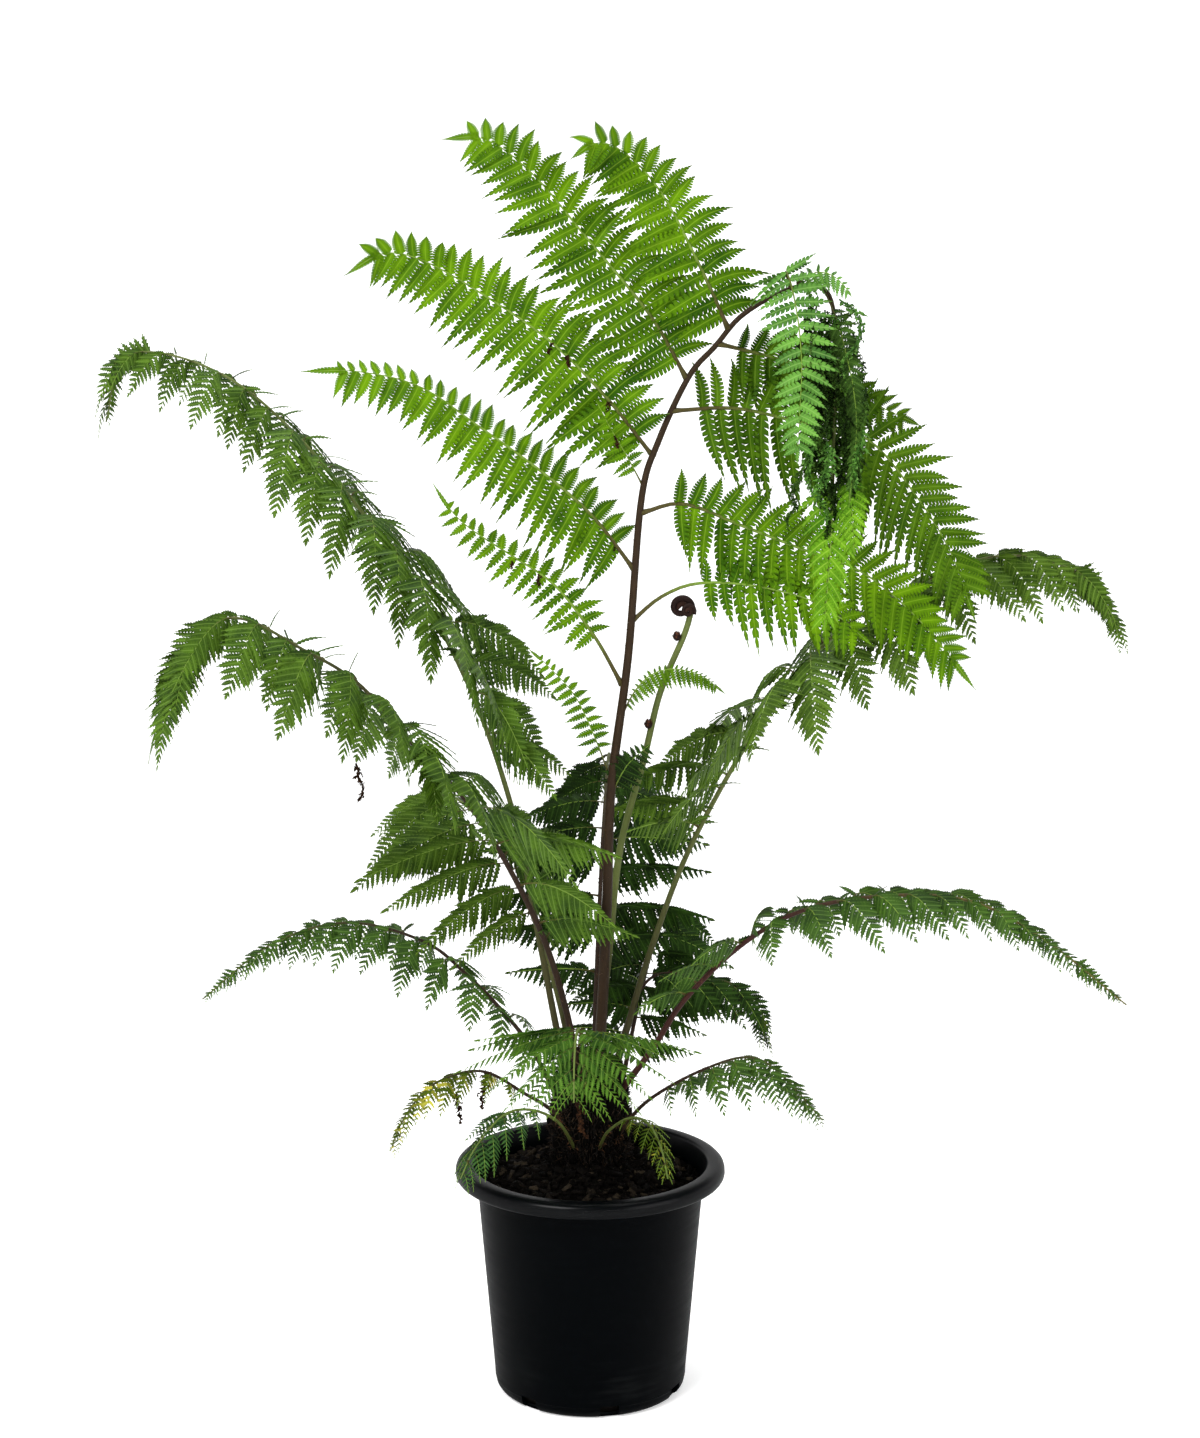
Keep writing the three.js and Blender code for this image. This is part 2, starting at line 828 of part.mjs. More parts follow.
function mainPinnae() {
  const large = MAIN_PINNAE.map((pinna, index) => ({
    curve: curveThrough(pinna.points),
    facing: DEPTH.clone(),
    twist: index % 2 === 0 ? MAIN_TWIST : -MAIN_TWIST,
    stalk: pinna.stalk,
    leaflets: pinna.leaflets,
    width: pinna.width,
  }));
  const stem = curveThrough(MAIN_STEM);
  const draw = new Draw(MAIN_SEED);
  const small = [];
  for (let pair = 0; pair < MAIN_TIP.pairs; pair += 1) {
    for (const side of [1, -1]) {
      const q = (pair + (side > 0 ? 0.2 : 0.6)) / MAIN_TIP.pairs;
      const t = mix(MAIN_TIP.from, 0.97, q);
      const length = MAIN_TIP.reach * (1 - 0.55 * q) * draw.around(1, 0.12);
      const base = stem.getPointAt(t);
      const tip = base.clone();
      tip.x += side * MAIN_TIP.spread * length;
      tip.y -= 0.25 * length;
      tip.z -= MAIN_TIP.fall * length;
      const bend = base.clone().lerp(tip, 0.5);
      bend.x += side * 0.12 * length;
      small.push({
        curve: new THREE.QuadraticBezierCurve3(base, bend, tip),
        facing: DEPTH.clone(),
        twist: MAIN_TIP.twist * side,
        stalk: PINNA_STALK,
        leaflets: MAIN_TIP.leaflets,
        width: MAIN_TIP.width,
      });
    }
  }
  return [...large, ...small];
}

// The crozier: a hairy stalk that ends in two small coils, with two coiled buds on its side
const CROZIER_STEM = [
  [6, 36, 385], [12, 34, 450], [22, 32, 535], [36, 30, 670],
  [64, 26, 780], [84, 24, 865], [112, 20, 935], [120, 20, 962],
];
const CROZIER_GIRTH = [5, 3.6];
const CROZIER_SIDES = 6;
const CROZIER_STALK = { stem: CROZIER_STEM, girth: CROZIER_GIRTH, sides: CROZIER_SIDES };
const COIL_RADIUS = 8;
const COIL_END = 1.2;
const COIL_TURNS = 1.35;
const COIL_SAMPLES = 14;
const COIL_GIRTH = [3.4, 2.2];
const COILS = [{ centre: [127, 20, 968], turn: 1 }, { centre: [109, 20, 966], turn: -1 }];
const BUDS = [{ centre: [101, 16, 925], radius: 5 }, { centre: [63, 20, 818], radius: 5.5 }];

function coilCurve(coil) {
  const points = [];
  for (let sample = 0; sample <= COIL_SAMPLES; sample += 1) {
    const t = sample / COIL_SAMPLES;
    const angle = 2 * Math.PI * (COIL_TURNS * t - 0.25) * coil.turn + (coil.turn > 0 ? 0 : Math.PI);
    const radius = mix(COIL_RADIUS, COIL_END, t);
    points.push([
      coil.centre[0] + radius * Math.cos(angle),
      coil.centre[1],
      coil.centre[2] + radius * Math.sin(angle),
    ]);
  }
  return curveThrough(points);
}

function crozierSolid() {
  let crozier = stemSolid(CROZIER_STALK);
  for (const coil of COILS) {
    const girthAt = (t) => mix(COIL_GIRTH[0], COIL_GIRTH[1], t);
    crozier = crozier.add(tube(coilCurve(coil), girthAt, COIL_SAMPLES, CROZIER_SIDES));
  }
  for (const bud of BUDS) {
    const ball = new THREE.IcosahedronGeometry(bud.radius, 1);
    ball.translate(...bud.centre);
    crozier = crozier.add(solidOfGeometry(ball));
  }
  return mainBody(crozier);
}

// Everything stands together here
const pot = potSolid();
const trunkHole = trunkSolid(FIT);
const soil = soilSolid().subtract(trunkHole);
const crozier = crozierSolid();

const mainFrond = { name: 'frond_main', stem: MAIN_STEM, girth: MAIN_GIRTH, sides: MAIN_SIDES };
const allStems = [mainFrond, ...FORMULA_FRONDS].map((frond) => stemSolid(frond));

// Each stalk and the crozier stand in plain sockets in the trunk's crown
let trunk = trunkSolid(0);
for (const frond of [mainFrond, ...FORMULA_FRONDS, CROZIER_STALK]) {
  const foot = new THREE.Vector3(...frond.stem[0]);
  const next = new THREE.Vector3(...frond.stem[1]);
  const back = foot.clone().addScaledVector(next.sub(foot).normalize(), -FIT);
  const socket = { ...frond, stem: [back.toArray(), ...frond.stem.slice(1)] };
  trunk = trunk.subtract(stemSolid(socket, SOCKET_FIT));
}
trunk = mainBody(trunk);

// A frond: its stem with every pinna that can be bent clear of the neighbours
function frondSolid(stem, pinnaChoices, others) {
  let frond = stem;
  for (const choices of pinnaChoices) {
    const clear = choices.find((pinna) => !touches(pinnaBlade(pinna, BLADE_CLEAR), others));
    if (clear) {
      frond = frond.add(pinnaBlade(clear));
    }
  }
  return mainBody(frond);
}

const fronds = [];
const standing = [pot, soil, trunk, crozier];

function othersOf(index) {
  const otherStems = allStems.filter((stem, other) => other !== index && !fronds[other]);
  return [...standing, ...otherStems, ...fronds.filter(Boolean)];
}

fronds[0] = frondSolid(allStems[0], mainPinnae().map((pinna) => [pinna]), othersOf(0));
FORMULA_FRONDS.forEach((frond, place) => {
  const choices = formulaSpots(frond).map((spot) => SHORTENINGS.flatMap((shorter) => (
    SWINGS.map((swing) => formulaPinna(frond, spot, swing, spot.length * shorter))
  )));
  fronds[place + 1] = frondSolid(allStems[place + 1], choices, othersOf(place + 1));
});

const group = new THREE.Group();

function place(name, solid, color, roughness) {
  const material = new THREE.MeshStandardMaterial({ color, roughness, metalness: 0 });
  const mesh = new THREE.Mesh(geometryOf(solid), material);
  mesh.name = name;
  group.add(mesh);
}

place('pot', pot, POT_BLACK, 0.42);
place('soil', soil, SOIL_BROWN, 0.95);
place('trunk', trunk, TRUNK_BROWN, 0.95);
place('frond_main', fronds[0], BRIGHT_LEAF, 0.55);
FORMULA_FRONDS.forEach((frond, index) => {
  place(frond.name, fronds[index + 1], frond.leaf, 0.6);
});
place('crozier', crozier, COIL_BROWN, 0.8);

export default group;
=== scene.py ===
"""The looks of a potted Australian tree fern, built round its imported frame.

Shapes are worked out in millimetres, in the frame's axes, and turned into metres where a mesh is made.
"""

import logging
import math
from dataclasses import dataclass, field
from enum import Enum
from typing import Any, Callable, Dict, List, Optional, Sequence, Tuple, Union

import bpy
import numpy as np
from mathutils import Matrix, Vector


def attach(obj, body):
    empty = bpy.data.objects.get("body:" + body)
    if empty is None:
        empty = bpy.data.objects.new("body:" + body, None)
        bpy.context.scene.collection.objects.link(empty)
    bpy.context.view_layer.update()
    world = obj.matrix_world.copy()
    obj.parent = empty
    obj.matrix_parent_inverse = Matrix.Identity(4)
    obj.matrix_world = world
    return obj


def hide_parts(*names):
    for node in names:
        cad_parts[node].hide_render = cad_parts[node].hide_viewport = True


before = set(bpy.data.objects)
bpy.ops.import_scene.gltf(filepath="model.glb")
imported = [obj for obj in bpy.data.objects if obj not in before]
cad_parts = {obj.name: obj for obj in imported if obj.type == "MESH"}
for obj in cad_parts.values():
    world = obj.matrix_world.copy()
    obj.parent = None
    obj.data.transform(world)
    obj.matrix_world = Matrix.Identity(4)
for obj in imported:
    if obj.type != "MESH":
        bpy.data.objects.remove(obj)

LOG = logging.getLogger("tree_fern")
METRES = 0.001
BODY = "root"
UP = np.array([0.0, 0.0, 1.0])
DOWN = np.array([0.0, 0.0, -1.0])
DEPTH = np.array([0.0, 1.0, 0.0])
GOLDEN_TURN = 2.39996
BOX_SIDES = ((0, 1, 3, 2), (4, 6, 7, 5), (0, 4, 5, 1), (2, 3, 7, 6), (0, 2, 6, 4), (1, 5, 7, 3))

Array = np.ndarray
Colour = Tuple[float, float, float, float]
Point = Tuple[float, float, float]
Points = Sequence[Point]
Feed = Union["Signal", float, int, Sequence[float]]


def srgb(red: int, green: int, blue: int) -> Colour:
    """A colour from its screen values.

    Args:
        red: Red, from 0 to 255.
        green: Green, from 0 to 255.
        blue: Blue, from 0 to 255.

    Returns:
        The linear colour, with full alpha.
    """
    def linear(value: int) -> float:
        """One channel in linear light."""
        share = value / 255
        return share / 12.92 if share <= 0.04045 else ((share + 0.055) / 1.055) ** 2.4

    return (linear(red), linear(green), linear(blue), 1.0)


def mix(first: Any, second: Any, share: Any) -> Any:
    """The value a share of the way from first to second."""
    return first + (second - first) * share


def smooth(low: float, high: float, value: Any) -> Any:
    """A soft step from 0 at low to 1 at high."""
    share = np.clip((value - low) / (high - low), 0.0, 1.0)
    return share * share * (3 - 2 * share)


def unit(vectors: Array) -> Array:
    """Vectors of length 1 in the same directions."""
    return vectors / np.maximum(np.linalg.norm(vectors, axis=-1, keepdims=True), 1e-9)


def nearest(places: Array, spot: Point) -> Array:
    """The place nearest to a spot, where depth counts for less."""
    return places[np.argmin(np.linalg.norm((places - spot) * (1, 0.3, 1), axis=1))]


def linked(name: str, data: bpy.types.ID) -> bpy.types.Object:
    """A new object of the scene.

    Args:
        name: Its name.
        data: Its mesh, light or camera.

    Returns:
        The object, at the origin.
    """
    made = bpy.data.objects.new(name, data)
    bpy.context.scene.collection.objects.link(made)
    return made


def turned(vectors: Array, axes: Array, angles: Any) -> Array:
    """Vectors turned about axes by angles in radians.

    Args:
        vectors: The vectors, one a row.
        axes: Unit axes, one a row or one for all.
        angles: The angles, one a row or one for all.

    Returns:
        The turned vectors.
    """
    angle = np.asarray(angles, float)[..., None]
    along = np.sum(vectors * axes, axis=-1, keepdims=True)
    crossed = np.cross(np.broadcast_to(axes, vectors.shape), vectors)
    return vectors * np.cos(angle) + crossed * np.sin(angle) + axes * along * (1 - np.cos(angle))


class Signal:
    """A shader socket that can be used in Python expressions."""

    def __init__(self, graph: "ShaderGraph", socket: bpy.types.NodeSocket) -> None:
        """Wraps a socket of a graph."""
        self.graph = graph
        self.socket = socket

    def _math(self, operation: str, first: Feed, second: Feed) -> "Signal":
        """Adds one Math node."""
        return self.graph.node("ShaderNodeMath", {"operation": operation}, {0: first, 1: second})

    def __add__(self, other: Feed) -> "Signal":
        """self + other."""
        return self._math("ADD", self, other)

    def __radd__(self, other: Feed) -> "Signal":
        """other + self."""
        return self._math("ADD", other, self)

    def __sub__(self, other: Feed) -> "Signal":
        """self - other."""
        return self._math("SUBTRACT", self, other)

    def __rsub__(self, other: Feed) -> "Signal":
        """other - self."""
        return self._math("SUBTRACT", other, self)

    def __mul__(self, other: Feed) -> "Signal":
        """self * other."""
        return self._math("MULTIPLY", self, other)

    def __rmul__(self, other: Feed) -> "Signal":
        """other * self."""
        return self._math("MULTIPLY", other, self)

    def __pow__(self, other: Feed) -> "Signal":
        """self to the power other."""
        return self._math("POWER", self, other)

    def __abs__(self) -> "Signal":
        """The size of self without its sign."""
        return self.graph.node("ShaderNodeMath", {"operation": "ABSOLUTE"}, {0: self})

    def sine(self) -> "Signal":
        """The sine of self, in radians."""
        return self.graph.node("ShaderNodeMath", {"operation": "SINE"}, {0: self})

    def step(self, low: float, high: float) -> "Signal":
        """A soft step from 0 at low to 1 at high."""
        settings = {"interpolation_type": "SMOOTHSTEP", "clamp": True}
        return self.graph.node("ShaderNodeMapRange", settings, {0: self, 1: low, 2: high, 3: 0.0, 4: 1.0})


class ShaderGraph:
    """The node tree of one new material."""

    def __init__(self, name: str) -> None:
        """Makes the material with its Principled shader.

        Args:
            name: The material's name.
        """
        self.material = bpy.data.materials.new(name)
        self.material.use_nodes = True
        self.tree = self.material.node_tree
        self.shader = self.tree.nodes["Principled BSDF"]

    def node(self, kind: str, settings: Dict[str, Any], inputs: Dict[Any, Feed], output: Any = 0) -> Signal:
        """Adds any node.

        Args:
            kind: The node's type.
            settings: Its properties, set first, and stops for a colour ramp.
            inputs: The values or links of its sockets, by name or number.
            output: The socket that the signal reads.

        Returns:
            The signal of that output.
        """
        made = self.tree.nodes.new(kind)
        for key, value in settings.items():
            if key == "stops":
                self._stops(made.color_ramp, value)
            else:
                setattr(made, key, value)
        for key, value in inputs.items():
            self.feed(made.inputs[key], value)
        return Signal(self, made.outputs[output])

    @staticmethod
    def _stops(ramp: bpy.types.ColorRamp, stops: Sequence[Tuple[float, Colour]]) -> None:
        """Sets a ramp's stops.

        Args:
            ramp: The ramp.
            stops: The position and colour of each.
        """
        while len(ramp.elements) < len(stops):
            ramp.elements.new(0.5)
        for element, (position, colour) in zip(ramp.elements, stops):
            element.position = position
            element.color = colour

    def feed(self, socket: bpy.types.NodeSocket, value: Feed) -> None:
        """Links a signal to a socket, or sets its value.

        Args:
            socket: The socket.
            value: The signal or value.
        """
        if isinstance(value, Signal):
            self.tree.links.new(value.socket, socket)
        else:
            socket.default_value = value

    def blend(self, first: Feed, second: Feed, share: Feed) -> Signal:
        """A colour a share of the way from first to second."""
        settings = {"data_type": "RGBA", "clamp_factor": True}
        return self.node("ShaderNodeMix", settings, {0: share, 6: first, 7: second}, 2)

    def place(self) -> Signal:
        """The place in the part, in metres."""
        return self.node("ShaderNodeTexCoord", {}, {}, "Object")

    def noise(
        self, scale: float, detail: float = 3.0, rough: float = 0.55, where: Optional[Signal] = None
    ) -> Signal:
        """Soft noise from 0 to 1, scale in waves a metre."""
        inputs = {"Vector": where or self.place(), "Scale": scale, "Detail": detail, "Roughness": rough}
        return self.node("ShaderNodeTexNoise", {}, inputs, 0)

    def cells(self, scale: float, where: Optional[Signal] = None) -> Signal:
        """The distance to the nearest of many scattered points."""
        return self.node("ShaderNodeTexVoronoi", {}, {"Vector": where or self.place(), "Scale": scale}, "Distance")

    def stretched(self, amounts: Sequence[float]) -> Signal:
        """The place in the part, scaled along each axis."""
        settings = {"operation": "MULTIPLY"}
        return self.node("ShaderNodeVectorMath", settings, {0: self.place(), 1: list(amounts)})

    def attribute(self, name: str) -> Signal:
        """A number kept on the mesh."""
        return self.node("ShaderNodeAttribute", {"attribute_name": name}, {}, "Fac")

    def attribute_parts(self, name: str) -> Tuple[Signal, Signal, Signal]:
        """The three numbers of a vector kept on the mesh.

        Args:
            name: The vector's name.

        Returns:
            Its three numbers.
        """
        vector = self.node("ShaderNodeAttribute", {"attribute_name": name}, {}, "Vector")
        parts = self.node("ShaderNodeSeparateXYZ", {}, {0: vector}).socket.node
        return tuple(Signal(self, parts.outputs[axis]) for axis in range(3))

    def bump(self, height: Signal, strength: float, distance: float) -> Signal:
        """A normal from a height signal.

        Args:
            height: The height, from 0 to 1.
            strength: How strongly it shows.
            distance: The height of 1, in metres.

        Returns:
            The normal.
        """
        return self.node("ShaderNodeBump", {}, {"Height": height, "Strength": strength, "Distance": distance})

    def dress(self, **sockets: Feed) -> bpy.types.Material:
        """Feeds the Principled shader, whose sockets are named with _ for each space.

        Args:
            **sockets: The value or link of each socket.

        Returns:
            The material.
        """
        for key, value in sockets.items():
            self.feed(self.shader.inputs[key.replace("_", " ")], value)
        return self.material


@dataclass(frozen=True)
class LeafFinish:
    """A fern leaf: its greens, its paler ribs, the shade painted in the creases between its lobes, and how it
    dries.
    """

    name: str
    deep: Colour
    fresh: Colour
    rib: Colour
    dry: Colour = srgb(92, 62, 30)
    pale: Colour = srgb(176, 170, 60)
    gloss: float = 0.5
    # How strongly the painted shade in the creases between lobes shows; it also sets how deep they dip in the
    # bump.
    crease_shade_strength: float = 0.5
    rib_width: float = 0.16
    shine: float = 0.06

    def material(self) -> bpy.types.Material:
        """Makes the material.

        Returns:
            The material.
        """
        graph = ShaderGraph(self.name)
        lobes, across, chance = graph.attribute_parts("grain")
        tone = graph.attribute("tone")
        side = abs(across)
        patches = graph.noise(38.0, 2.0)
        fine = graph.noise(900.0, 2.0)
        share = (0.55 * chance + 0.75 * patches - 0.15).step(0.1, 0.9)
        green = graph.blend(self.deep, self.fresh, share)
        # Painted shade: the creases between the lobes are darkened towards a dark green, and dip in the bump.
        phase = lobes * (2 * math.pi) - side * 0.6 + 0.5 * math.pi
        crease_shade_mask = (phase.sine() * 0.5 + 0.5) ** 4.0 * side.step(0.1, 0.9) * self.crease_shade_strength
        green = graph.blend(green, self.shade(), 0.6 * crease_shade_mask)
        rib = 1.0 - side.step(0.02, 0.02 + self.rib_width)
        green = graph.blend(green, self.rib, 0.4 * rib)
        aged = graph.blend(green, self.pale, tone.step(0.15, 0.55))
        aged = graph.blend(aged, self.dry, (tone + 0.2 * fine).step(0.6, 0.95))
        height = 0.6 * (1.0 - rib) - 0.5 * crease_shade_mask + 0.2 * fine
        rough = self.gloss + 0.16 * patches + 0.25 * tone
        normal = graph.bump(height, 0.35, 0.0006)
        return graph.dress(Base_Color=aged, Roughness=rough, Normal=normal, Specular_IOR_Level=self.shine)

    def shade(self) -> Colour:
        """The dark green painted as shade in the creases between lobes."""
        return tuple(0.35 * part for part in self.deep[:3]) + (1.0,)


@dataclass(frozen=True)
class StalkFinish:
    """A frond's stalk: its colour at the foot and the tip, with fine streaks."""

    name: str
    foot: Colour
    tip: Colour
    fleck: Colour
    turn: Tuple[float, float] = (0.1, 0.8)

    def material(self) -> bpy.types.Material:
        """Makes the material.

        Returns:
            The material.
        """
        graph = ShaderGraph(self.name)
        along = graph.attribute_parts("grain")[0]
        streaks = graph.noise(420.0, 3.0, 0.6, graph.stretched((1.0, 1.0, 0.12)))
        specks = graph.noise(1400.0, 2.0)
        share = (along + 0.25 * streaks - 0.12).step(*self.turn)
        colour = graph.blend(self.foot, self.tip, share)
        colour = graph.blend(colour, self.fleck, (streaks * specks).step(0.28, 0.5) * 0.55)
        normal = graph.bump(0.6 * streaks + 0.4 * specks, 0.5, 0.0008)
        rough = 0.45 + 0.25 * streaks
        return graph.dress(Base_Color=colour, Roughness=rough, Normal=normal, Specular_IOR_Level=0.12)


@dataclass(frozen=True)
class ScaleFinish:
    """The thin brown scales and hairs on stalks and trunk."""

    name: str
    dark: Colour
    light: Colour

    def material(self) -> bpy.types.Material:
        """Makes the material.

        Returns:
            The material.
        """
        graph = ShaderGraph(self.name)
        along, _, chance = graph.attribute_parts("grain")
        colour = graph.blend(self.dark, self.light, (0.7 * chance + 0.4 * along).step(0.2, 1.0))
        grit = graph.noise(1600.0, 2.0)
        return graph.dress(Base_Color=colour, Roughness=0.7 + 0.2 * grit, Specular_IOR_Level=0.15)


@dataclass(frozen=True)
class PotFinish:
    """Moulded black plastic with dusty scuffs."""

    name: str
    body: Colour
    worn: Colour
    dust: Colour

    def material(self) -> bpy.types.Material:
        """Makes the material.

        Returns:
            The material.
        """
        graph = ShaderGraph(self.name)
        broad = graph.noise(9.0, 4.0)
        rings = graph.noise(60.0, 4.0, 0.6, graph.stretched((0.25, 0.25, 3.2)))
        grit = graph.noise(1500.0, 2.0)
        scratch = graph.noise(260.0, 3.0, 0.7, graph.stretched((0.12, 0.12, 2.0))).step(0.62, 0.78)
        specks = 1.0 - graph.cells(140.0).step(0.03, 0.11)
        height = self.height(graph)
        low = 1.0 - height.step(0.01, 0.09)
        rim = height.step(0.262, 0.28)
        dusty = (broad * rings).step(0.24, 0.5) * (0.03 + 0.8 * low + 0.22 * rim)
        colour = graph.blend(self.body, self.worn, (rings + 0.3 * scratch).step(0.45, 0.95) * 0.4)
        colour = graph.blend(colour, self.dust, dusty * 0.3 + specks * broad.step(0.5, 0.8) * 0.12)
        rough = 0.36 + 0.18 * rings + 0.25 * dusty + 0.05 * grit
        normal = graph.bump(0.55 * grit + 0.45 * rings + 0.3 * scratch, 0.22, 0.0005)
        coat = {"Coat_Weight": rim * 0.14, "Coat_Roughness": 0.24}
        return graph.dress(Base_Color=colour, Roughness=rough, Normal=normal, Specular_IOR_Level=0.02, **coat)

    @staticmethod
    def height(graph: ShaderGraph) -> Signal:
        """The height above the ground, in metres."""
        return graph.node("ShaderNodeSeparateXYZ", {}, {0: graph.place()}, 2)


@dataclass(frozen=True)
class BarkFinish:
    """Composted bark: dark crumbs with paler flakes."""

    name: str
    dark: Colour
    brown: Colour
    pale: Colour

    def material(self) -> bpy.types.Material:
        """Makes the material.

        Returns:
            The material.
        """
        graph = ShaderGraph(self.name)
        chance = graph.attribute_parts("grain")[2]
        crumbs = graph.noise(260.0, 5.0, 0.7)
        fibre = graph.noise(700.0, 4.0, 0.7, graph.stretched((1.0, 0.3, 1.0)))
        colour = graph.blend(self.dark, self.brown, (chance * 0.8 + 0.5 * crumbs).step(0.35, 1.0))
        colour = graph.blend(colour, self.pale, (chance + 0.25 * fibre).step(0.93, 1.12) * 0.75)
        normal = graph.bump(0.5 * crumbs + 0.5 * fibre, 0.8, 0.0016)
        rough = 0.82 + 0.12 * fibre
        return graph.dress(Base_Color=colour, Roughness=rough, Normal=normal, Specular_IOR_Level=0.04)


@dataclass(frozen=True)
class SweepFinish:
    """The pale studio floor."""

    name: str
    colour: Colour

    def material(self) -> bpy.types.Material:
        """Makes the material.

        Returns:
            The material.
        """
        graph = ShaderGraph(self.name)
        grain = graph.noise(14.0, 2.0)
        shade = graph.blend(self.colour, tuple(0.985 * part for part in self.colour[:3]) + (1.0,), grain)
        across, deep = (graph.node("ShaderNodeSeparateXYZ", {}, {0: graph.place()}, part) for part in (0, 1))
        far = (across * across + deep * deep).step(3.0, 30.0)
        light = graph.blend((0.35, 0.35, 0.35, 1.0), (0.62, 0.62, 0.62, 1.0), far)
        glow = {"Emission_Color": light, "Emission_Strength": 1.0}
        return graph.dress(Base_Color=shade, Roughness=0.85, Specular_IOR_Level=0.1, **glow)


class LeafColour(Enum):
    """The kinds of foliage on this plant."""

    BRIGHT = LeafFinish(
        "leaf_bright", srgb(34, 70, 0), srgb(88, 128, 0), srgb(122, 152, 36), crease_shade_strength=1.0, rib_width=0.07
    )
    SIDE = LeafFinish(
        "leaf_side", srgb(32, 62, 0), srgb(78, 114, 8), srgb(108, 136, 40), crease_shade_strength=1.0, rib_width=0.07
    )
    HANGING = LeafFinish("leaf_hanging", srgb(34, 76, 14), srgb(90, 140, 48), srgb(124, 160, 82), shine=0.16)
    DARK = LeafFinish("leaf_dark", srgb(26, 50, 4), srgb(70, 100, 18), srgb(108, 138, 58), shine=0.1)
    LOW = LeafFinish("leaf_low", srgb(18, 40, 4), srgb(58, 90, 20), srgb(94, 126, 54), shine=0.12)
    DEEP = LeafFinish("leaf_deep", srgb(8, 22, 2), srgb(36, 62, 12), srgb(62, 92, 34))
    GREY = LeafFinish("leaf_grey", srgb(28, 50, 4), srgb(72, 100, 22), srgb(108, 136, 56), shine=0.08)
    YOUNG = LeafFinish("leaf_young", srgb(22, 50, 8), srgb(74, 112, 30), srgb(116, 146, 62))
    # Painted shade: a darker, bluer green than the dark leaf, for the frond that hangs over the rim.
    SHADED = LeafFinish("leaf_shaded", srgb(14, 38, 12), srgb(56, 92, 40), srgb(92, 124, 68))
    TIP = LeafFinish("leaf_tip", srgb(50, 96, 6), srgb(102, 148, 24), srgb(142, 174, 62))
    YELLOW = LeafFinish("leaf_yellowing", srgb(34, 56, 6), srgb(78, 94, 14), srgb(104, 112, 30))
    WITHERED = LeafFinish("leaf_withered", srgb(26, 14, 8), srgb(70, 44, 24), srgb(60, 40, 24), gloss=0.7)
    CURLED = LeafFinish("leaf_curled", srgb(16, 36, 6), srgb(64, 98, 30), srgb(88, 118, 50))


class StalkColour(Enum):
    """The kinds of stalk on this plant."""

    BROWN = StalkFinish("stalk_brown", srgb(38, 26, 13), srgb(120, 136, 74), srgb(76, 56, 34), (0.74, 0.95))
    UMBER = StalkFinish("stalk_umber", srgb(38, 26, 17), srgb(76, 84, 42), srgb(84, 62, 42), (0.45, 0.95))
    RED = StalkFinish("stalk_red", srgb(48, 24, 20), srgb(86, 82, 40), srgb(98, 62, 44), (0.4, 0.9))
    OLIVE = StalkFinish("stalk_olive", srgb(54, 50, 28), srgb(84, 94, 48), srgb(42, 32, 20), (0.02, 0.5))
    GREEN = StalkFinish("stalk_green", srgb(66, 72, 32), srgb(88, 106, 48), srgb(52, 42, 24), (0.05, 0.6))
    RIB = StalkFinish("leaf_rib", srgb(62, 56, 26), srgb(104, 132, 48), srgb(54, 44, 24), (0.05, 0.4))


POT_PLASTIC = PotFinish("pot_plastic", srgb(0, 1, 2), srgb(2, 5, 7), srgb(40, 42, 41))
BARK = BarkFinish("bark_mix", srgb(3, 2, 1), srgb(12, 9, 7), srgb(52, 45, 35))
TRUNK_BARK = BarkFinish("trunk_fibre", srgb(4, 3, 2), srgb(16, 11, 7), srgb(34, 26, 16))
TRUNK_SCALES = ScaleFinish("trunk_scales", srgb(6, 4, 2), srgb(44, 32, 20))
SCALES = ScaleFinish("stalk_scales", srgb(22, 12, 7), srgb(92, 62, 36))
COIL_SCALES = ScaleFinish("coil_scales", srgb(26, 12, 8), srgb(84, 48, 30))
SWEEP = SweepFinish("studio_sweep", (0.9, 0.9, 0.9, 1.0))


class Draw:
    """Steady pseudo-random numbers from 0 to 1, the same ones that the frame's solids use."""

    def __init__(self, seed: int) -> None:
        """Starts from a seed."""
        self.state = seed

    def next(self) -> float:
        """The next number."""
        self.state = (self.state * 9301 + 49297) % 233280
        return self.state / 233280

    def around(self, middle: float, spread: float) -> float:
        """A number within spread of middle."""
        return middle + spread * (2 * self.next() - 1)


